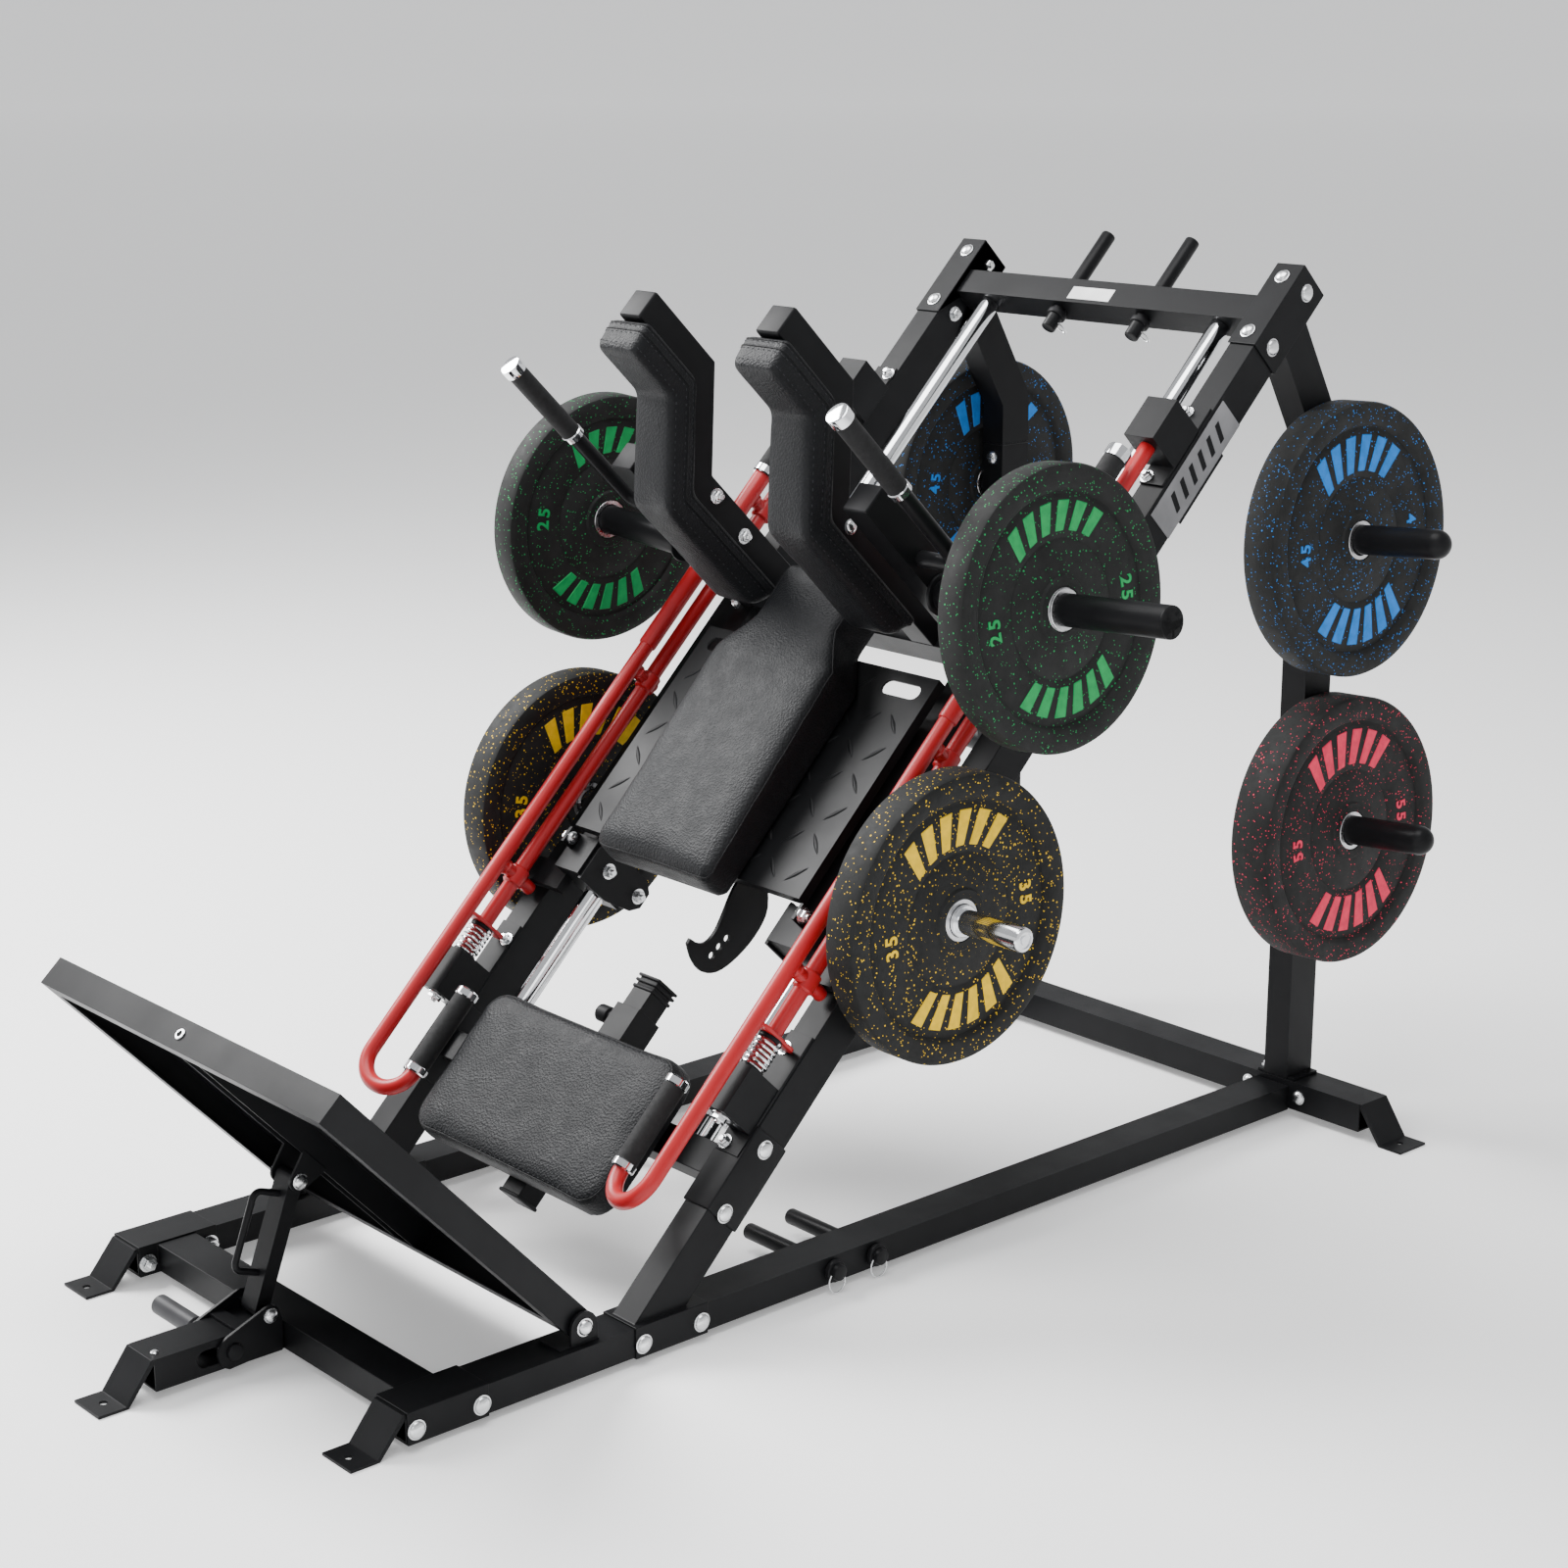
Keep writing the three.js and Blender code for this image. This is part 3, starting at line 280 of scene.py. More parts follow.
def flecked_rubber(name, colour, fleck):
    look = Surface(name, colour, 0.0, 0.68, 0.0, 0.22)
    base = look.mottle(22, 0.8, 1.3)
    for scale, share, size in ((300, 0.976, 0.42), (480, 0.962, 0.45)):
        cell = look.cells(scale)
        split = look.node("ShaderNodeSeparateColor")
        look.wire(cell["Color"], split.inputs[0])
        chosen = look.maths("GREATER_THAN", split.outputs[0], share)
        near = look.maths("LESS_THAN", cell["Distance"], size)
        base = look.mixed(look.maths("MULTIPLY", chosen, near), base, fleck)
    look.wire(base, look.shader.inputs["Base Color"])
    look.sheen_range(60, 0.06)
    look.bump(look.noise(700, 3), 0.3, 0.0006)
    look.bump(look.cells(260)["Distance"], 0.12, 0.0005)
    return look.material


BLACK = (0.0057, 0.0059, 0.0066)
LOOK = {
    "black": powder_coat("powder_coat_black", BLACK),
    "satin": powder_coat("satin_black", (0.0075, 0.0076, 0.0084), 0.36, 500),
    "tread": powder_coat("tread_plate_black", (0.0065, 0.0067, 0.0074), 0.42, 700),
    "red": gloss_paint("red_paint", (0.4, 0.01, 0.014)),
    "chrome": metal("bright_chrome", (0.82, 0.83, 0.85), 0.1),
    "zinc": metal("zinc_bolt", (0.78, 0.79, 0.8), 0.27, 0.06, 90),
    "steel": metal("brushed_steel", (0.62, 0.62, 0.63), 0.3, 0.08, 120),
    "leather": leather("grained_leather", (0.0062, 0.0067, 0.0079)),
    "piping": leather("leather_piping", (0.0045, 0.0048, 0.0056), 0.6),
    "thread": foam("sewing_thread", (0.028, 0.029, 0.032)),
    "foam": foam("grip_foam", (0.0085, 0.0085, 0.009)),
    "plastic": powder_coat("moulded_black", (0.011, 0.011, 0.012), 0.5, 1100),
    "label": powder_coat("pale_label", (0.72, 0.72, 0.72), 0.5, 400),
    "badge": powder_coat("badge_grey", (0.2, 0.2, 0.207), 0.4, 400),
    "grey": powder_coat("satin_grey", (0.045, 0.045, 0.048), 0.4, 500),
    # Near-black material for painted shade: it darkens a thin disc set inside a hole.
    "dark": foam("hole_shadow", (0.003, 0.003, 0.003)),
}
FLECKS = {
    "green": (0.006, 0.33, 0.085),
    "yellow": (0.88, 0.56, 0.004),
    "blue": (0.008, 0.2, 0.66),
    "pink": (0.8, 0.03, 0.09),
}
for tone, value in FLECKS.items():
    LOOK["rubber_" + tone] = flecked_rubber("rubber_" + tone, (0.0112, 0.0116, 0.0114), value)
    LOOK["mark_" + tone] = raised_mark("mark_" + tone, value)


# ---- mesh tools ----
def prism(outline, x0, x1, bevel=1.5, segments=2):
    """An outline of (y, z) points drawn out along x, with its sharp edges eased."""
    part = bmesh.new()
    low = [part.verts.new((x0, y, z)) for y, z in outline]
    high = [part.verts.new((x1, y, z)) for y, z in outline]
    close(part, low, high)
    ease(part, bevel, segments)
    return part


def close(part, low, high):
    """Two matching rings of points made into a solid: both ends and the faces between them."""
    part.faces.new(low)
    part.faces.new(high[::-1])
    for i, vertex in enumerate(low):
        k = (i + 1) % len(low)
        part.faces.new((low[k], vertex, high[i], high[k]))


def ease(part, bevel, segments=2, angle=28):
    bmesh.ops.recalc_face_normals(part, faces=part.faces)
    if bevel:
        edges = [e for e in part.edges if e.is_manifold and e.calc_face_angle(0) > radians(angle)]
        bmesh.ops.bevel(
            part, geom=edges, offset=bevel, segments=segments, profile=0.5, affect="EDGES",
            clamp_overlap=True,
        )


def block(low, high, bevel=1.5, segments=2):
    (x0, y0, z0), (x1, y1, z1) = low, high
    return prism([(y0, z0), (y1, z0), (y1, z1), (y0, z1)], min(x0, x1), max(x0, x1), bevel, segments)


def arc(y, z, radius, a0, a1, steps):
    angles = [radians(a0 + (a1 - a0) * i / steps) for i in range(steps + 1)]
    return [(y + radius * cos(a), z + radius * sin(a)) for a in angles]


def lathe(profile, origin, direction, sides=48):
    """Profile points are (radius, distance along direction from origin)."""
    part = bmesh.new()
    basis = Vector(direction).normalized().to_track_quat("Z", "Y").to_matrix().to_4x4()
    place = shift(*origin) @ basis
    rings = []
    for radius, along in profile:
        if radius < 1e-6:
            rings.append([part.verts.new(place @ Vector((0, 0, along)))])
            continue
        ring = []
        for i in range(sides):
            angle = 2 * pi * i / sides
            ring.append(part.verts.new(place @ Vector((radius * cos(angle), radius * sin(angle), along))))
        rings.append(ring)
    for a, b in zip(rings, rings[1:]):
        for i in range(sides):
            k = (i + 1) % sides
            corners = [a[i % len(a)], a[k % len(a)], b[k % len(b)], b[i % len(b)]]
            part.faces.new(list(dict.fromkeys(corners)))
    bmesh.ops.recalc_face_normals(part, faces=part.faces)
    return part


def bar(radius, start, end, chamfer=1.5, sides=40):
    along = Vector(end) - Vector(start)
    half = [(0, 0), (radius - chamfer, 0), (radius - 0.3 * chamfer, 0.3 * chamfer), (radius, chamfer)]
    return lathe(half + [(r, along.length - t) for r, t in reversed(half)], start, along, sides)


def sleeve(inner, outer, start, end, ease_by=1.0, sides=40):
    along = Vector(end) - Vector(start)
    half = [(inner, 0), (outer - ease_by, 0), (outer, ease_by)]
    other = [(r, along.length - t) for r, t in reversed(half)]
    return lathe(half + other + half[:1], start, along, sides)


def rounded(corners, bend, steps=8):
    """Corner points turned into a path with rounded bends."""
    points = [Vector(c) for c in corners]
    path = [points[0]]
    for before, here, after in zip(points, points[1:], points[2:]):
        into = (here - before).normalized()
        out = (after - here).normalized()
        angle = into.angle(out)
        start = here - into * bend * tan(angle / 2)
        side = (out - into * out.dot(into)).normalized()
        centre = start + side * bend
        for k in range(steps + 1):
            a = angle * k / steps
            path.append(centre - side * bend * cos(a) + into * bend * sin(a))
    return path + [points[-1]]


def sweep(path, radius, sides=20, closed=False):
    """A round tube along a path, its section carried without twist."""
    points = [Vector(p) for p in path]
    count = len(points)
    part = bmesh.new()
    rings = []
    normal = None
    for i, point in enumerate(points):
        ahead = points[(i + 1) % count] if closed or i < count - 1 else point
        behind = points[i - 1] if closed or i > 0 else point
        along = (ahead - behind).normalized()
        if normal is None:
            normal = along.orthogonal().normalized()
        normal = (normal - along * normal.dot(along)).normalized()
        across = along.cross(normal)
        ring = []
        for k in range(sides):
            a = 2 * pi * k / sides
            ring.append(part.verts.new(point + (normal * cos(a) + across * sin(a)) * radius))
        rings.append(ring)
    pairs = list(zip(rings, rings[1:]))
    if closed:
        last, first = rings[-1], rings[0]
        offset = min(range(sides), key=lambda o: (last[0].co - first[o].co).length)
        pairs.append((last, first[offset:] + first[:offset]))
    for a, b in pairs:
        for i in range(sides):
            k = (i + 1) % sides
            part.faces.new((a[i], a[k], b[k], b[i]))
    if not closed:
        part.faces.new(rings[0][::-1])
        part.faces.new(rings[-1])
    bmesh.ops.recalc_face_normals(part, faces=part.faces)
    return part


class Piece:
    """Gathers mesh parts in one local frame and places them as one object on a body."""

    def __init__(self, place, *parts):
        self.place = place
        self.whole = bmesh.new()
        self.add(*parts)

    def add(self, *parts):
        for part in parts:
            scratch = bpy.data.meshes.new("scratch")
            part.to_mesh(scratch)
            part.free()
            self.whole.from_mesh(scratch)
            bpy.data.meshes.remove(scratch)
        return self

    def put(self, name, body, slot, look, *nodes, angle=32):
        mesh = bpy.data.meshes.new(name)
        self.whole.to_mesh(mesh)
        self.whole.free()
        mesh.transform(self.place)
        return finish(mesh, name, body, slot, look, *nodes, angle=angle)


def finish(mesh, name, body, slot, look, *nodes, angle=32):
    mesh.polygons.foreach_set("use_smooth", [True] * len(mesh.polygons))
    mesh.set_sharp_from_angle(angle=radians(angle))
    mesh.materials.clear()
    mesh.materials.append(LOOK[look])
    made = bpy.data.objects.new(name, mesh)
    bpy.context.scene.collection.objects.link(made)
    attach(made, body)
    if nodes:
        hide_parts(*nodes)
    return made


def refine(node, body, slot, look, width=1.6, segments=2, angle=30):
    """The CAD node's own shape with eased edges."""
    part = bmesh.new()
    part.from_mesh(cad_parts[node].data)
    bmesh.ops.remove_doubles(part, verts=part.verts, dist=1e-6)
    bmesh.ops.dissolve_limit(part, angle_limit=radians(1.2), verts=part.verts, edges=part.edges)
    ease(part, width / 1000, segments, angle)
    mesh = bpy.data.meshes.new(node + "_shell")
    part.to_mesh(mesh)
    part.free()
    made = finish(mesh, node + "_shell", body, slot, look, node)
    weigh = made.modifiers.new("weigh", "WEIGHTED_NORMAL")
    weigh.keep_sharp = True
    return made


def dome(radius, base, height, steps):
    """Profile points of a dome that starts at a base height, without its first rim point."""
    angles = [pi / 2 * i / steps for i in range(1, steps)]
    return [(radius * cos(a), base + height * sin(a)) for a in angles] + [(0, base + height)]


def dome_bolt(at, normal, radius=12.5, height=6.5):
    """A domed bolt head on a thin washer."""
    washer, rim = 1.6, radius + 1.8
    profile = [(0, 0), (rim, 0), (rim, washer - 0.2), (radius, washer)]
    return lathe(profile + dome(radius, washer, height, 7), at, normal, 28)


def hex_nut(at, normal, radius=11, height=10, stub=5):
    """A hexagon nut with its washer and the end of the bolt standing out of it."""
    washer, shank = 1.6, 5.4
    rise = Vector(normal).normalized()
    start = Vector(at) + rise * washer
    end = start + rise * height
    nut = [
        (0, 0), (radius - 1, 0), (radius, 1), (radius, height - 1.5), (radius - 1.5, height), (0, height),
    ]
    return [
        lathe([(0, 0), (radius + 3, 0), (radius + 3, washer), (0, washer)], at, normal, 28),
        lathe(nut, start, rise, 6),
        lathe([(0, -1), (shank, -1), (shank, stub - 1), (shank - 1, stub), (0, stub)], end, rise, 20),
    ]


# ---- floor frame ----
def make_floor_frame():
    """Every welded tube and bracket as its CAD shape, with its own edge radius."""
    paired = {
        "rail": 2.2, "upright": 3.0, "incline_post": 2.6, "incline_beam": 3.2,
        "top_bracket": 2.0, "lower_housing": 2.0, "upper_housing": 2.4,
    }
    single = {
        "front_cross_member": 2.4, "centre_tube": 2.0, "rear_beam": 2.4,
        "upper_cross_tube": 2.8, "lower_cross_tube": 2.8, "seat_post": 2.2,
    }
    for name, _ in SIDES:
        for stem, width in paired.items():
            refine(f"{stem}_{name}", "frame", "frame_paint", "black", width, 3)
    for node, width in single.items():
        refine(node, "frame", "frame_paint", "black", width, 3)


def make_frame_bolts():
    bolts = Piece(FLOOR)
    nuts = Piece(FLOOR)
    upright_x, knee, rail_mid = 355, 1059, 30
    front_face, rear_face = 1828, 1896.3
    for _, side in SIDES:
        out = (side, 0, 0)
        for y in (14, 120, 399, 505):
            bolts.add(dome_bolt((side * 390.3, y, rail_mid), out))
            nuts.add(*hex_nut((side * 314.8, y, rail_mid), (-side, 0, 0)))
        bolts.add(dome_bolt((side * 377.2, 305, 80.6), out, 11.5, 8))
        bolts.add(dome_bolt((side * upright_x, front_face, knee), (0, -1, 0), 10.5, 6))
        nuts.add(*hex_nut((side * 322, 1850, 69.4), (0, 0, 1), 9, 8, 4))
        bolts.add(dome_bolt((side * upright_x, rear_face, knee), (0, 1, 0), 10.5, 6))
        for x in (upright_x - 55, upright_x + 55):
            bolts.add(dome_bolt((side * x, 1825.4, 40), (0, -1, 0), 10.5, 6))
            nuts.add(*hex_nut((side * x, 1896.2, 40), (0, 1, 0), 9.5))
    bolts.add(lathe([(0, 0), (6, 0), (6, 1), (4, 2.6), (0, 3)], (14, -160, 60), (0, 0, 1), 20))
    bolts.put("floor_bolt_heads", "frame", "chrome", "zinc")
    nuts.put("floor_nuts", "frame", "chrome", "zinc")
    seam = Piece(FLOOR)
    for _, side in SIDES:
        seam.add(block((side * 328.8, 1826.8, 1083), (side * 381.2, 1895.2, 1086), 0.6, 1))
    seam.put("upright_seams", "frame", "frame_paint", "satin")


def make_incline_bolts():
    heads = Piece(SLOPE)
    nuts = Piece(SLOPE)
    sleeves = Piece(SLOPE)
    beam_side = 383
    for _, side in SIDES:
        out = (side, 0, 0)
        for s in (201, 309.5):
            heads.add(dome_bolt((side * beam_side, s, -30), out))
        for s in (1822, 1935):
            heads.add(dome_bolt((side * (beam_side + 0.1), s, -33), out))
            heads.add(dome_bolt((side * 354, s, 3.3), (0, 0, 1), 11, 6))
            nuts.add(*hex_nut((side * 329.6, s, -33), (-side, 0, 0), 10, 8))
        for x, s in ((340, 1522), (340, 1650), (341, 290), (341, 452)):
            nuts.add(*hex_nut((side * x, s, 5), (0, 0, 1), 8.5, 7, 4))
        sleeves.add(block((side * 326.6, 190, -69.9), (side * beam_side, 330, 3.2), 2.2, 3))
    heads.put("incline_bolt_heads", "frame", "chrome", "zinc")
    nuts.put("incline_nuts", "frame", "chrome", "zinc")
    sleeves.put("splice_sleeves", "frame", "frame_paint", "black")


# ---- rods, pegs and horns ----
PEG_RISE = 4.5
REAR_PEG_Y = 1861
REAR_PEG_X = 461
PEG_HEIGHTS = {"upper": 1012, "lower": 523}
STORE_S, STORE_N = 739.6, -33.3


def make_rods():
    n = -30
    end_profile = [
        (19, 213.5), (17.6, 217), (15, 218.5), (12.5, 218.9),
        (12, 217.1), (7.5, 217.1), (7, 219.1), (0, 219.5),
    ]
    for name, side in SIDES:
        x = side * 260
        rod = Piece(SLOPE, bar(17, (x, 286.3, n), (x, 1851.7, n), 1, 48))
        rod.add(sleeve(16.8, 24, (x, 318, n), (x, 334, n), 1.5))
        rod.put(f"guide_rod_{name}_bright", "frame", "chrome", "chrome", f"guide_rod_{name}")

        horn = Piece(SLOPE)
        start = (side * 380.1, STORE_S, STORE_N)
        horn.add(lathe([(0, 0), (19, 0)] + end_profile, start, (side, 0, 0), 48))
        horn.add(sleeve(18.8, 24.6, (side * 383, STORE_S, STORE_N), (side * 479, STORE_S, STORE_N), 1.2))
        horn.put(f"storage_horn_{name}_bright", "frame", "chrome", "chrome", f"storage_horn_{name}")


def ring_clip(peg, at, along, down):
    """A wire ring through the peg's end, hanging to one side."""
    along = Vector(along).normalized()
    down = Vector(down).normalized()
    side = along.cross(down).normalized()
    centre = Vector(at) + down * 15
    loop = []
    for i in range(28):
        a = 2 * pi * i / 28
        loop.append(centre + down * 17 * cos(a) + side * 13 * sin(a) + along * 3 * sin(a))
    peg.add(sweep(loop, 1.2, 8, closed=True))


def make_band_pegs():
    radius, n, height = 12.7, -30, 33
    clips = Piece(SLOPE)
    knobs = Piece(SLOPE)
    for name, side in SIDES:
        x = side * 94
        node = f"top_band_peg_{name}"
        peg = Piece(SLOPE, bar(radius, (x, 1810, n), (x, 2020, n), 2.5))
        peg.put(node + "_bar", "frame", "peg_paint", "satin", node)
        ring_clip(clips, (x, 1828, n), (0, 1, 0), (0.25, 0, -1))
        knobs.add(bar(17, (x, 1836, n), (x, 1846, n), 2))
    clips.put("top_peg_clips", "frame", "chrome", "zinc")
    knobs.put("top_peg_collars", "frame", "peg_paint", "plastic")
    clips = Piece(FLOOR)
    knobs = Piece(FLOOR)
    for name, side in SIDES:
        for number, y in ((1, 762), (2, 847)):
            node = f"rail_band_peg_{name}_{number}"
            peg = Piece(FLOOR, bar(radius, (side * 196, y, height), (side * 406, y, height), 2.5))
            peg.put(node + "_bar", "frame", "peg_paint", "satin", node)
            knobs.add(sleeve(12.5, 17.5, (side * 388, y, height), (side * 397, y, height), 1.5))
            ring_clip(clips, (side * 400, y, height), (side, 0, 0), (0, -0.2, -1))
    clips.put("rail_peg_clips", "frame", "chrome", "zinc")
    knobs.put("rail_peg_collars", "frame", "peg_paint", "plastic")


def peg_height(level, x):
    """How high a rear peg's centre line stands at a distance x from the middle."""
    return PEG_HEIGHTS[level] + (x - REAR_PEG_X) * tan(radians(PEG_RISE))


def make_rear_pegs():
    radius, long, root = 24.2, 224, 378
    for name, side in SIDES:
        pegs = Piece(FLOOR)
        along = Vector((side * cos(radians(PEG_RISE)), 0, sin(radians(PEG_RISE))))
        for level in PEG_HEIGHTS:
            profile = [(radius, 0), (radius, long)] + dome(radius, long, 24, 8)
            pegs.add(lathe(profile, (side * root, REAR_PEG_Y, peg_height(level, root)), along, 48))
        pegs.put(f"rear_pegs_{name}", "frame", "frame_paint", "satin")


# ---- red safety bars ----
def make_safety_bars():
    """A hinge tube carries a second tube, which holds the upper grip and bends back to the lower one."""
    hinge_n, carry_n, return_n, tube = 52, 97, 73, 12.7
    for name, side in SIDES:
        body = f"safety_{name}"
        x = side * 354
        grip_x = side * 261
        bend = hypot(x - grip_x, carry_n - return_n) / 2 - 0.4
        low = 180 - bend
        red = Piece(SLOPE, bar(tube, (x, 332, hinge_n), (x, 1596, hinge_n), 1))
        hook = [(x, 990, carry_n), (x, low, carry_n), (grip_x, low, return_n), (grip_x, 332, return_n)]
        red.add(sweep(rounded(hook, bend, 14), tube, 32))
        red.add(bar(15.2, (x, 983, carry_n), (x, 1498, carry_n), 3))
        for s, end in ((544, 12), (940, 35), (1305, 35)):
            red.add(bar(11.2, (x, s, carry_n), (x, s, end), 2.5))
            red.add(sleeve(11, 13.2, (x, s, 84), (x, s, 78), 2))
            red.add(sleeve(12.5, 17, (x, s - 16, hinge_n), (x, s + 16, hinge_n), 3))
        lobe = arc(x, 79, 18, 0, 180, 12) + arc(x, 25, 18, 180, 360, 12)
        cam = prism(lobe, 446, 452, 1)
        cam.transform(Matrix(((0, 1, 0, 0), (1, 0, 0, 0), (0, 0, 1, 0), (0, 0, 0, 1))))
        bmesh.ops.recalc_face_normals(cam, faces=cam.faces)
        red.add(cam)
        red.put(f"safety_bar_{name}_paint", body, "red_paint", "red", f"safety_bar_{name}")

        low_grip = Piece(SLOPE, sleeve(12.5, 17, (grip_x, 184, return_n), (grip_x, 322, return_n), 2.5))
        low_grip.put(f"lower_grip_{name}_foam", body, "grip_foam", "foam", f"lower_grip_{name}")
        top_grip = Piece(SLOPE, sleeve(15, 18.5, (x, 1360, carry_n), (x, 1484, carry_n), 2))
        top_grip.put(f"upper_grip_{name}_foam", body, "grip_foam", "foam", f"upper_grip_{name}")
        rings = Piece(SLOPE)
        for s in (176, 318):
            rings.add(sleeve(12.4, 18.6, (grip_x, s, return_n), (grip_x, s + 14, return_n), 2))
        rings.add(lathe([(0, 0), (13, 0), (13.6, -1), (0, -1)], (grip_x, 333, return_n), (0, 1, 0), 32))
        rings.add(sleeve(15, 20, (x, 1346, carry_n), (x, 1362, carry_n), 2))
        end_cap = [(0, 22), (16.5, 22), (19.2, 21), (20, 18.5), (20, 0), (15, 0)]
        rings.add(lathe(end_cap, (x, 1482, carry_n), (0, 1, 0), 40))
        rings.put(f"safety_rings_{name}", body, "chrome", "chrome")
        make_return_spring(name, x, hinge_n)


def make_return_spring(name, x, n):
    """The coil round the hinge tube, its two seats, and the nut on the tube's lower end."""
    turns, per, first, last, radius = 6, 24, 394, 441, 18
    coil = []
    for i in range(turns * per + 1):
        a = 2 * pi * i / per
        s = first + (last - first) * i / (turns * per)
        coil.append((x + radius * cos(a), s, n + radius * sin(a)))
    spring = Piece(SLOPE, sweep(coil, 2.8, 10))
    spring.put(f"return_spring_{name}_wire", "frame", "chrome", "chrome", f"return_spring_{name}")
    ends = Piece(SLOPE, sleeve(12.8, 17, (x, 309, n), (x, 311, n), 0.5))
    ends.add(*hex_nut((x, 311.8, n), (0, -1, 0), 11.5, 8, 4))
    ends.put(f"safety_end_nut_{name}", "frame", "chrome", "zinc")
    for s0, s1 in ((388, 394), (440, 446)):
        washer = Piece(SLOPE, sleeve(12.9, 19.5, (x, s0, n), (x, s1, n), 1))
        washer.put(f"spring_seat_{name}_{s0}", "frame", "frame_paint", "satin")


# ---- carriage ----
HORN_RISE = 3.5
HORN_PLATE_X = 523


def horn_at(side, x):
    """A point on a loading horn's centre line; the horn rises towards its outer end."""
    rise = (x - 548) * tan(radians(HORN_RISE))
    return (side * x, 1149 + rise * sin(radians(INCLINE)), 203 + rise * cos(radians(INCLINE)))


def make_carriage():
    refine("carriage_frame", "carriage", "frame_paint", "black", 1.0, 2)
    refine("sector_plate", "carriage", "frame_paint", "black", 0.8, 2)
    refine("tread_board", "carriage", "tread_steel", "tread", 2.0, 3)
    handle_s = 1151
    ring_cap = [(0, 17.5), (15.5, 17.5), (17.8, 16.6), (18.4, 14.5), (18.4, 0), (14, 0)]
    for name, side in SIDES:
        refine(f"shoulder_arm_{name}", "carriage", "frame_paint", "black", 3, 3)
        x = side * 379
        handle = rounded([(side * 296, handle_s, 264), (x, handle_s, 264), (x, handle_s, 470)], 28, 12)
        metalwork = Piece(SLOPE, bar(24.2, horn_at(side, 296), horn_at(side, 748), 3, 48))
        metalwork.add(sleeve(24, 33, horn_at(side, 296.5), horn_at(side, 303), 1.5))
        metalwork.add(sweep(handle, 12.7, 32))
        metalwork.put(f"carriage_bars_{name}", "carriage", "frame_paint", "satin")
        grip = Piece(SLOPE, sleeve(12.5, 16.5, (x, handle_s, 446), (x, handle_s, 598), 2))
        grip.put(f"handle_grip_{name}", "carriage", "grip_foam", "foam")
        rings = Piece(SLOPE, sleeve(12.4, 17.6, (x, handle_s, 434), (x, handle_s, 448), 2))
        rings.add(lathe(ring_cap, (x, handle_s, 595), (0, 0, 1), 40))
        rings.put(f"handle_rings_{name}", "carriage", "chrome", "chrome")
        collar = Piece(SLOPE, sleeve(24.3, 31, horn_at(side, 546), horn_at(side, 549.5), 1))
        collar.put(f"horn_ring_{name}", "carriage", "chrome", "steel")
        caps = Piece(SLOPE)
        caps.add(block((side * 247.4, 1128.4, 397), (side * 296.6, 1177.6, 403), 2.5, 3))
        caps.add(block((side * 134, 1259.6, 624), (side * 183, 1308.4, 630), 2.5, 3))
        caps.put(f"tube_caps_{name}", "carriage", "knob_plastic", "plastic")


def make_carriage_bolts():
    bolts = Piece(SLOPE)
    nuts = Piece(SLOPE)
    arm_mid, arm_half = 158.5, 25
    for _, side in SIDES:
        for s, n in ((1160, 318), (1150, 228)):
            nuts.add(*hex_nut((side * (arm_mid - arm_half), s, n), (-side, 0, 0), 9.5, 8))
        bolts.add(dome_bolt((side * (arm_mid + arm_half), 1150, 318), (side, 0, 0), 10.5, 6))
        nuts.add(*hex_nut((side * 282, 634, 62), (side, 0, 0), 10, 8))
        nuts.add(*hex_nut((side * 224, 621, 2), (-side, 0, 0), 10, 8))
        nuts.add(*hex_nut((side * 224, 624, -78), (-side, 0, 0), 10, 8))
        bolts.add(dome_bolt((side * 276, 634, 62), (-side, 0, 0), 9, 5))
        nuts.add(*hex_nut((side * 215, 1128, 20), (0, -1, 0), 9, 8))
        bolts.add(dome_bolt((side * 288, 1128, 40), (0, -1, 0), 10, 6))
    bolts.put("carriage_bolt_heads", "carriage", "chrome", "zinc")
    nuts.put("carriage_nuts", "carriage", "chrome", "zinc")


def lozenges(low, high, z, rise, keep_clear=None):
    """Raised tread bars, each a low faceted lens, in two slants, between two opposite corners."""
    pitch, half_long, half_wide, corners = 50, 23, 4, 12
    part = bmesh.new()
    columns = int((high[0] - low[0]) / pitch)
    rows = int((high[1] - low[1]) / pitch)
    for i in range(columns):
        for j in range(rows):
            x = low[0] + (high[0] - low[0]) * (i + 0.5) / columns
            y = low[1] + (high[1] - low[1]) * (j + 0.5) / rows
            if keep_clear and keep_clear(x, y):
                continue
            a = radians(45 if (i + j) % 2 else -45)
            u = Vector((cos(a), sin(a), 0))
            v = Vector((-sin(a), cos(a), 0))
            rings = []
            for height, share_long, share_wide in ((z, 1, 1), (z + rise, 0.72, 0.52)):
                ring = []
                for k in range(corners):
                    t = 2 * pi * k / corners
                    along = cos(t) * half_long * share_long
                    across = sin(t) * (1 - 0.35 * abs(cos(t))) * half_wide * share_wide
                    ring.append(part.verts.new(Vector((x, y, height)) + u * along + v * across))
                rings.append(ring)
            close(part, *rings)
    bmesh.ops.recalc_face_normals(part, faces=part.faces)
    return part


def make_board_tread():
    def clear(x, y):
        slot = abs(x) > 140 and 985 < y < 1065
        return slot or abs(x) < 130 or abs(x) > 256

    board = Piece(SLOPE, lozenges((-262, 660), (262, 1050), 76, 1.5, clear))
    board.put("board_tread_bars", "carriage", "tread_steel", "tread", angle=60)


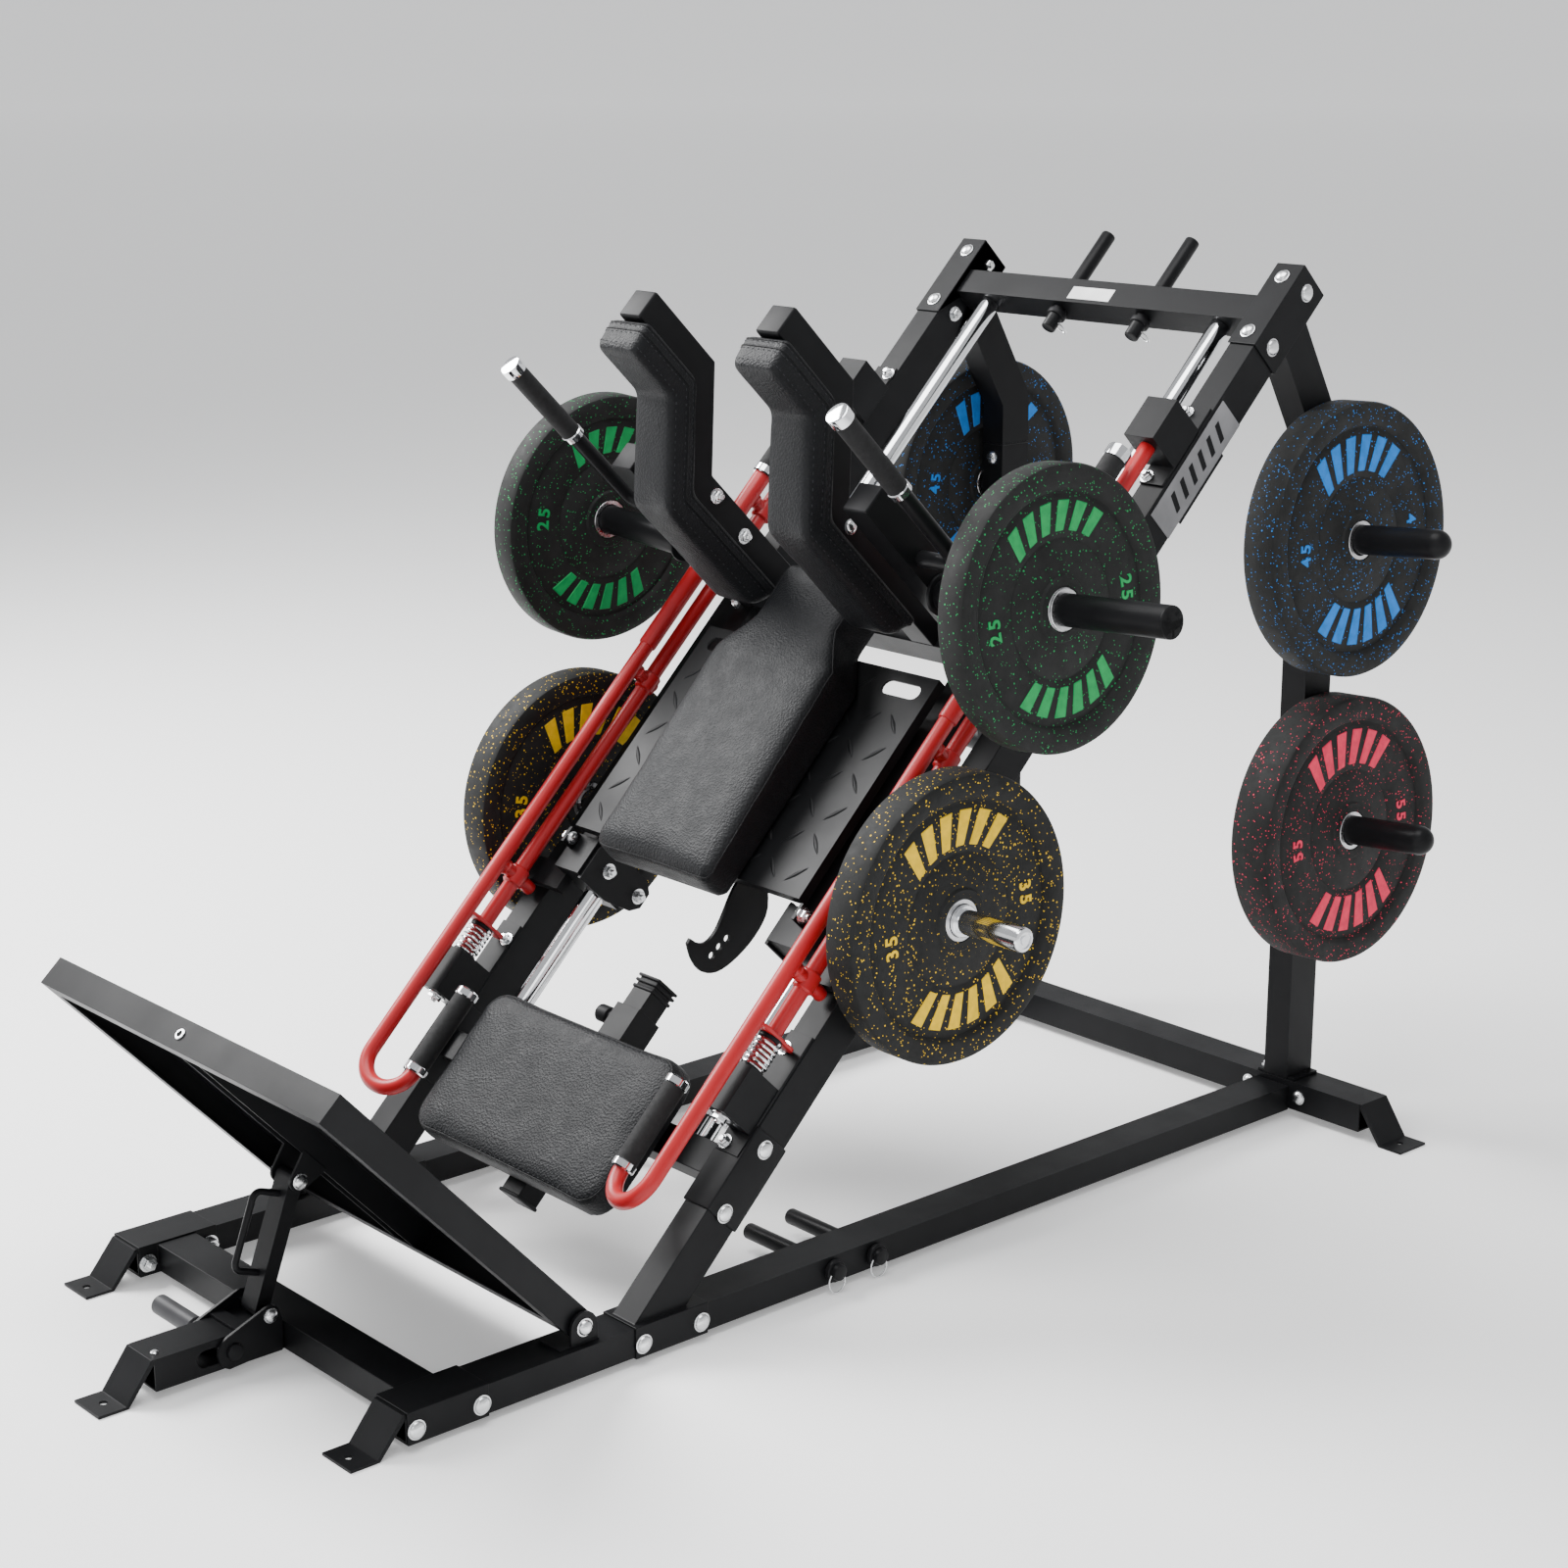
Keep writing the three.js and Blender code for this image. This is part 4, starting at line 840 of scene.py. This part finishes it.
# ---- foot plate ----
def make_foot_plate():
    refine("foot_tray", "foot_plate", "foot_tray_paint", "black", 1.6, 2)
    tread = Piece(TRAY, lozenges((-360, 12), (360, 565), -22, -1.5))
    tread.put("foot_tread_bars", "foot_plate", "foot_tray_paint", "tread", angle=60)
    ring = Piece(TRAY, sleeve(5, 8.5, (0, 572.5, 1), (0, 575.5, 1), 0.8, 32))
    ring.put("foot_plate_eyelet", "foot_plate", "chrome", "zinc")
    # A thin near-black disc inside the eyelet ring is painted shade that stands in for the dark inside of
    # the hole.
    hole = Piece(TRAY, lathe([(0, 0), (5, 0), (5, 0.6), (0, 0.6)], (0, 573, 1), (0, 1, 0), 24))
    hole.put("foot_plate_eyelet_shade_disc", "foot_plate", "knob_plastic", "dark")
    pins = Piece(TRAY, dome_bolt((27, 281.3, 53.4), (1, 0, 0), 10, 6))
    pins.add(*hex_nut((-27, 281.3, 53.4), (-1, 0, 0), 9.5, 8))
    pins.put("clevis_bolts", "foot_plate", "chrome", "zinc")


def make_strut():
    refine("support_strut", "strut", "frame_paint", "black", 2.0, 3)
    upper, lower, root, reach = 164.9, 48.9, 6, 52
    wire = rounded([(0, upper, root), (0, upper, reach), (0, lower, reach), (0, lower, root)], 12, 8)
    handle = Piece(PROP, sweep(wire, 5.2, 20))
    handle.put("strut_handle", "strut", "peg_paint", "satin")
    refine("slider_bracket", "slider", "frame_paint", "black", 1.2, 2)
    y, height = -51, 36
    pin = Piece(FLOOR, bar(12.2, (-165, y, height), (46, y, height), 1.5))
    pin.put("lock_pin_bar", "slider", "peg_paint", "satin", "lock_pin")
    knob = Piece(FLOOR, sleeve(12, 15, (-165, y, height), (-62, y, height), 2))
    knob.put("lock_pin_grip", "slider", "peg_paint", "grey")
    nuts = Piece(FLOOR, dome_bolt((41, 9, 72), (1, 0, 0), 9.5, 6))
    nuts.add(*hex_nut((-41, 9, 72), (-1, 0, 0), 9, 8))
    nuts.put("slider_nuts", "slider", "chrome", "zinc")


# ---- weight plates ----
def glyph(text, size, extrude):
    """A numeral as a mesh part, centred, in its own plane."""
    curve = bpy.data.curves.new("glyph", "FONT")
    curve.body = text
    curve.size = size
    curve.extrude = extrude
    curve.offset = size * 0.022
    curve.resolution_u = 3
    curve.align_x = "CENTER"
    curve.align_y = "CENTER"
    holder = bpy.data.objects.new("glyph", curve)
    bpy.context.scene.collection.objects.link(holder)
    bpy.context.view_layer.update()
    mesh = bpy.data.meshes.new_from_object(holder.evaluated_get(bpy.context.evaluated_depsgraph_get()))
    part = bmesh.new()
    part.from_mesh(mesh)
    bpy.data.objects.remove(holder)
    bpy.data.curves.remove(curve)
    bpy.data.meshes.remove(mesh)
    return part


def plate_marks(number, face, reach):
    """Numerals left and right, and slanted stripes above and below, raised from a face."""
    rise, root, half, lean = 1.2, 113, radians(4.2), radians(2.2)
    parts = []
    for centre in (0, 180):
        for digit, character in enumerate(number):
            a = radians(centre + 4.5 - 9 * digit / max(1, len(number) - 1))
            part = glyph(character, 32, rise)
            part.transform(shift(137 * cos(a), 137 * sin(a), face) @ Matrix.Rotation(a - pi / 2, 4, "Z"))
            parts.append(part)
    for centre in (90, 270):
        for k in range(6):
            a = radians(centre - 35 + 14 * k)
            corners = []
            for r, offset in (
                (root, -half - lean), (root, half - lean), (reach, half + lean), (reach, -half + lean),
            ):
                corners.append((r * cos(a - offset), r * sin(a - offset)))
            part = bmesh.new()
            low = [part.verts.new((px, py, face - 1)) for px, py in corners]
            high = [part.verts.new((px, py, face + rise)) for px, py in corners]
            close(part, low, high)
            ease(part, 1, 1)
            parts.append(part)
    return parts


def weight_plate(name, slot, tone, number, thick, radius, place):
    """The plate lies in its own frame with its axis along z and its outer face at +z."""
    body = f"{name}_body"
    h = thick / 2
    recess = h - 6.5
    half = [(26, h - 2.5), (33, h - 2.5), (34, h - 1), (46, h - 1), (49, h - 4.5), (98, recess)]
    half += [(100.5, h - 8.5), (103.5, h - 8.5), (106, recess)]
    rim = [(49, 6.5), (45, 9), (41, 9), (36, 2.5), (32, 0), (8, 0), (2.8, 2.2), (0.4, 7)]
    half += [(radius - inset, h - sunk) for inset, sunk in rim]
    ring = [(25.6, h - 1.6), (31.5, h - 1.6), (32.6, h - 2.8)]
    rubber = Piece(place, lathe(mirrored(half), (0, 0, 0), (0, 0, 1), 128))
    rubber.put(f"{name}_rubber", body, slot, "rubber_" + tone, name, angle=40)
    insert = Piece(place, lathe(mirrored(ring), (0, 0, 0), (0, 0, 1), 64))
    insert.put(f"{name}_insert", body, "chrome", "steel")
    for label, way in (("marks", place), ("back_marks", place @ turn(180, "Y"))):
        marks = Piece(way, *plate_marks(number, recess, radius - 53))
        marks.put(f"{name}_{label}", body, slot, "mark_" + tone, angle=30)


def mirrored(half):
    """A closed profile from its upper half."""
    return half + [(r, -z) for r, z in reversed(half)] + half[:1]


def facing(side):
    """Turns a plate's own frame so that its outer face looks out to one side and its x looks back."""
    return Matrix(((0, 0, side, 0), (side, 0, 0, 0), (0, 1, 0, 0), (0, 0, 0, 1)))


def make_plates():
    for name, side in SIDES:
        level = turn(-INCLINE)
        tilt = turn(-side * HORN_RISE, "Y")
        place = SLOPE @ shift(*horn_at(side, HORN_PLATE_X)) @ level @ tilt @ facing(side) @ turn(6, "Z")
        weight_plate(f"carriage_plate_{name}", "plate_green", "green", "25", 50, 210, place)
        place = SLOPE @ shift(side * 443, STORE_S, STORE_N) @ level @ facing(side) @ turn(6, "Z")
        weight_plate(f"stored_plate_{name}", "plate_yellow", "yellow", "35", 60, 220, place)
    rear = (
        ("upper", "left", -1, "blue", "45", 66, 423.2),
        ("upper", "right", 1, "blue", "45", 66, 423.2),
        ("lower", "right", 1, "pink", "55", 78, 429.2),
    )
    for level, name, side, tone, number, thick, x in rear:
        place = FLOOR @ shift(side * x, REAR_PEG_Y, peg_height(level, x))
        place = place @ turn(-side * 2.4, "Y") @ facing(side) @ turn(4, "Z")
        weight_plate(f"rear_plate_{level}_{name}", "plate_" + tone, tone, number, thick, 225, place)


# ---- pads ----
def evaluated(holder):
    return bpy.data.meshes.new_from_object(holder.evaluated_get(bpy.context.evaluated_depsgraph_get()))


def spread(mesh, field, rounds):
    """Averages a field of vectors over neighbouring points."""
    ends = np.array([e.vertices[:] for e in mesh.edges])
    count = np.bincount(ends.ravel(), minlength=len(field))[:, None]
    for _ in range(rounds):
        total = np.zeros_like(field)
        np.add.at(total, ends[:, 0], field[ends[:, 1]])
        np.add.at(total, ends[:, 1], field[ends[:, 0]])
        field = 0.5 * field + 0.5 * total / count
    return field


def puffed(name, part, pressure, cap, rest=(0, 0, -1)):
    """Remeshes a closed shape, inflates it as cloth, and limits how far any point moves.

    The face that looks along rest lies against its board and stays flat.
    """
    part.transform(SLOPE)
    mesh = bpy.data.meshes.new(name)
    part.to_mesh(mesh)
    part.free()
    holder = bpy.data.objects.new(name + "_work", mesh)
    bpy.context.scene.collection.objects.link(holder)
    remesh = holder.modifiers.new("even", "REMESH")
    remesh.mode = "VOXEL"
    remesh.voxel_size = 0.006
    ease_it = holder.modifiers.new("ease", "SMOOTH")
    ease_it.iterations = 3
    bpy.context.view_layer.update()
    holder.data = evaluated(holder)
    holder.modifiers.clear()
    start = np.array([v.co for v in holder.data.vertices])
    cloth = holder.modifiers.new("fill", "CLOTH")
    cloth.settings.quality = 5
    cloth.settings.mass = 0.3
    cloth.settings.tension_stiffness = 22
    cloth.settings.compression_stiffness = 22
    cloth.settings.use_pressure = True
    cloth.settings.uniform_pressure_force = pressure
    cloth.settings.effector_weights.gravity = 0
    scene = bpy.context.scene
    for step in range(1, 21):
        scene.frame_set(step)
    swollen = evaluated(holder)
    end = np.array([v.co for v in swollen.vertices])
    holder.modifiers.clear()
    scene.frame_set(1)
    move = end - start
    size = np.linalg.norm(move, axis=1, keepdims=True)
    move *= np.minimum(1, cap / np.maximum(size, 1e-9))
    back = SLOPE.to_3x3() @ Vector(rest)
    held = np.array([v.normal.dot(back.normalized()) > 0.6 for v in holder.data.vertices])
    move[held] = 0
    move = spread(holder.data, move, 30)
    move[held] = 0
    start = start + move
    holder.data.vertices.foreach_set("co", start.ravel())
    holder.data.update()
    soft = holder.modifiers.new("soften", "SMOOTH")
    soft.iterations = 2
    finer = holder.modifiers.new("finer", "SUBSURF")
    finer.levels = 1
    finer.render_levels = 1
    bpy.context.view_layer.update()
    final = evaluated(holder)
    bpy.data.objects.remove(holder)
    return final


def seam(tree, loop, radius):
    """A loop in the local frame laid onto the nearest leather surface, as a thin cord."""
    return sweep([tree.find_nearest(SLOPE @ Vector(p))[0] for p in loop], radius, 8, closed=True)


def stitches(tree, loop, step=0.007):
    """A row of short thread stitches laid onto the surface beside a seam."""
    part = bmesh.new()
    points = [tree.find_nearest(SLOPE @ Vector(p)) for p in loop]
    for (a, normal, _, _), (b, _, _, _) in zip(points, points[1:] + points[:1]):
        span = (b - a).length
        if span < 1e-5 or span > 0.08:
            continue
        along = (b - a) / span
        across = along.cross(normal).normalized()
        for k in range(max(1, int(span / step))):
            centre = a + along * (k + 0.5) * step
            if (centre - a).length > span:
                break
            rings = []
            for half_long, half_wide, rise in ((0.0021, 0.0005, 0.0001), (0.0015, 0.0004, 0.0009)):
                corners = ((-1, -1), (1, -1), (1, 1), (-1, 1))
                rings.append([
                    part.verts.new(centre + along * u * half_long + across * v * half_wide + normal * rise)
                    for u, v in corners
                ])
            close(part, *rings)
    return part


def dense(points, step=12):
    """Extra points along the straight stretches of a closed loop."""
    corners = [Vector(p) for p in points]
    path = []
    for a, b in zip(corners, corners[1:] + corners[:1]):
        count = max(1, ceil((b - a).length / step))
        path += [a.lerp(b, i / count) for i in range(count)]
    return path


def round_rect(half_x, y0, y1, radius, steps=6):
    path = []
    for cx, cy, a0 in (
        (half_x - radius, y1 - radius, 0), (radius - half_x, y1 - radius, 90),
        (radius - half_x, y0 + radius, 180), (half_x - radius, y0 + radius, 270),
    ):
        path += arc(cx, cy, radius, a0, a0 + 90, steps)
    return path


def slab(outline, z0, z1, bevel=0, segments=3):
    """An (x, y) outline drawn out along z."""
    part = prism(outline, z0, z1, 0)
    part.transform(Matrix(((0, 1, 0, 0), (0, 0, 1, 0), (1, 0, 0, 0), (0, 0, 0, 1))))
    ease(part, bevel, segments, 40)
    return part


def dress_pad(name, mesh, body, node, loops):
    """Puts a cushion on its body, with a cord or a row of stitches along each loop."""
    pad = finish(mesh, name, body, "leather", "leather", node, angle=60)
    tree = BVHTree.FromPolygons([v.co for v in mesh.vertices], [p.vertices[:] for p in mesh.polygons])
    piping = Piece(Matrix.Identity(4))
    thread = Piece(Matrix.Identity(4))
    for loop, kind in loops:
        path = dense(loop)
        if kind == "pipe":
            piping.add(seam(tree, path, 0.0016))
        else:
            thread.add(stitches(tree, path))
    if len(piping.whole.verts):
        piping.put(name + "_piping", body, "leather", "piping")
    if len(thread.whole.verts):
        thread.put(name + "_stitches", body, "leather", "thread")


def make_seat_cushion():
    shell = slab(round_rect(238, 102, 366, 44), 9.5, 54.5, 13, 4)
    mesh = puffed("seat_cushion", shell, 4, 0.007)
    loops = []
    for inset, kind in ((0, "pipe"), (6, "line")):
        path = round_rect(231 - inset, 109 + inset, 359 - inset, 40 - inset)
        loops.append(([(x, y, 56) for x, y in path], kind))
    dress_pad("seat_cushion", mesh, "seat", "seat_pad", loops)


def shoulder_edge(d, low, high):
    """The shoulder arm's outer side moved in by d: straight, across the bend, and straight again."""
    lean = d * tan(atan2(131, 120) / 2)
    return [(1178 - d, low), (1178 - d, 346 + lean), (1309 - d, 466 + lean), (1309 - d, high)]


def make_shoulder_cushion(name, x):
    outline = shoulder_edge(50.8, 114, 626) + shoulder_edge(105, 145, 620)[::-1]
    half_wide = 48.5
    body = prism(outline, x - half_wide, x + half_wide, 9, 3)
    mesh = puffed(f"shoulder_cushion_{name}", body, 3, 0.004, (0, 0.92, -0.39))
    loops = []
    for depth, kind in ((57, "pipe"), (62, "line"), (72, "pipe"), (77, "line"), (97, "line")):
        path = shoulder_edge(depth, 110, 632)
        loop = [(x - 52, s, n) for s, n in path] + [(x + 52, s, n) for s, n in path[::-1]]
        loops.append((loop, kind))
    dress_pad(f"shoulder_cushion_{name}", mesh, "carriage", f"shoulder_pad_{name}", loops)


def make_back_cushion():
    side_view = [(606, 79), (1172, 79), (1173, 152), (1000, 156), (618, 137), (607, 124)]
    half_plan = [(131, 600), (145, 618), (145, 994), (100, 1061), (100, 1190)]
    half_face = [(133, 608), (149, 624), (149, 996), (104, 1063), (104, 1168)]
    wedge = prism(side_view, -146, 146, 0)
    plan = slab(both_sides(half_plan), 60, 200)
    mesh = puffed("back_cushion", crossed(wedge, plan, 15), 4, 0.008)
    loop = [(x, s, 134 + (s - 616) * 0.05) for x, s in both_sides(half_face)]
    dress_pad("back_cushion", mesh, "carriage", "back_pad", [(loop, "pipe")])


def both_sides(half):
    """A closed outline from the points of its +x half, listed upwards."""
    return [(-half[0][0], half[0][1])] + half + [(-x, y) for x, y in half[:0:-1]]


def crossed(a, b, bevel):
    """The common part of two closed shapes."""
    holders = []
    for part in (a, b):
        mesh = bpy.data.meshes.new("cross")
        bmesh.ops.recalc_face_normals(part, faces=part.faces)
        part.to_mesh(mesh)
        part.free()
        holder = bpy.data.objects.new("cross", mesh)
        bpy.context.scene.collection.objects.link(holder)
        holders.append(holder)
    common = holders[0].modifiers.new("common", "BOOLEAN")
    common.operation = "INTERSECT"
    common.solver = "EXACT"
    common.object = holders[1]
    bpy.context.view_layer.update()
    result = evaluated(holders[0])
    for holder in holders:
        bpy.data.objects.remove(holder)
    part = bmesh.new()
    part.from_mesh(result)
    bmesh.ops.dissolve_limit(part, angle_limit=radians(1), verts=part.verts, edges=part.edges)
    ease(part, bevel, 3, 40)
    return part


# ---- seat hardware and trim ----
def make_seat_hardware():
    refine("seat_sleeve", "seat", "frame_paint", "black", 1.8, 3)
    pin = Piece(SLOPE, bar(5.2, (-23, 406, -23), (-50, 406, -23), 0.5))
    knob = [(0, 0), (9, 0), (9, 10), (13, 12), (14, 16), (14, 34), (12.5, 36), (0, 36)]
    pin.add(lathe(knob, (-42, 406, -23), (-1, 0, 0), 40))
    pin.put("seat_pull_knob", "seat_pin", "knob_plastic", "plastic", "seat_pull_pin")
    caps = Piece(SLOPE)
    for s0, s1 in ((458, 464), (84, 90)):
        caps.add(block((-24.5, s0, -47.5), (24.5, s1, 1.5), 2.5, 3))
    caps.put("seat_post_caps", "frame", "knob_plastic", "plastic")
    ridges = Piece(SLOPE, block((-21, 462, -44), (21, 482, -2), 1.5, 2))
    for s in (469, 478):
        ridges.add(block((-25, s, -48), (25, s + 5, 2), 1.6, 2))
    ridges.put("seat_post_ridges", "frame", "knob_plastic", "plastic")


def make_trim():
    badge = Piece(SLOPE, block((380, 1461, -66), (381.6, 1690, -6), 0.6, 2))
    badge.put("beam_badge", "frame", "chrome", "badge")
    strokes = Piece(SLOPE)
    for k in range(6):
        s = 1500 + 28 * k
        strokes.add(prism([(s, -52), (s + 11, -52), (s + 21, -20), (s + 10, -20)], 381.3, 382, 0.2, 1))
    strokes.add(block((376.5, 1496, -74), (379.4, 1634, -66.8), 0.6, 1))
    strokes.put("beam_badge_strokes", "frame", "frame_paint", "black")
    label = Piece(SLOPE, block((-68, 1859, -5.7), (26, 1885, -5.2), 0.2, 1))
    label.put("cross_tube_label", "frame", "chrome", "label")


make_camera()
make_floor()
make_lights()
make_floor_frame()
make_frame_bolts()
make_incline_bolts()
make_rods()
make_band_pegs()
make_rear_pegs()
make_safety_bars()
make_carriage()
make_carriage_bolts()
make_board_tread()
make_foot_plate()
make_strut()
make_plates()
make_seat_hardware()
make_trim()
make_seat_cushion()
for name, side in SIDES:
    make_shoulder_cushion(name, side * 158.5)
make_back_cushion()
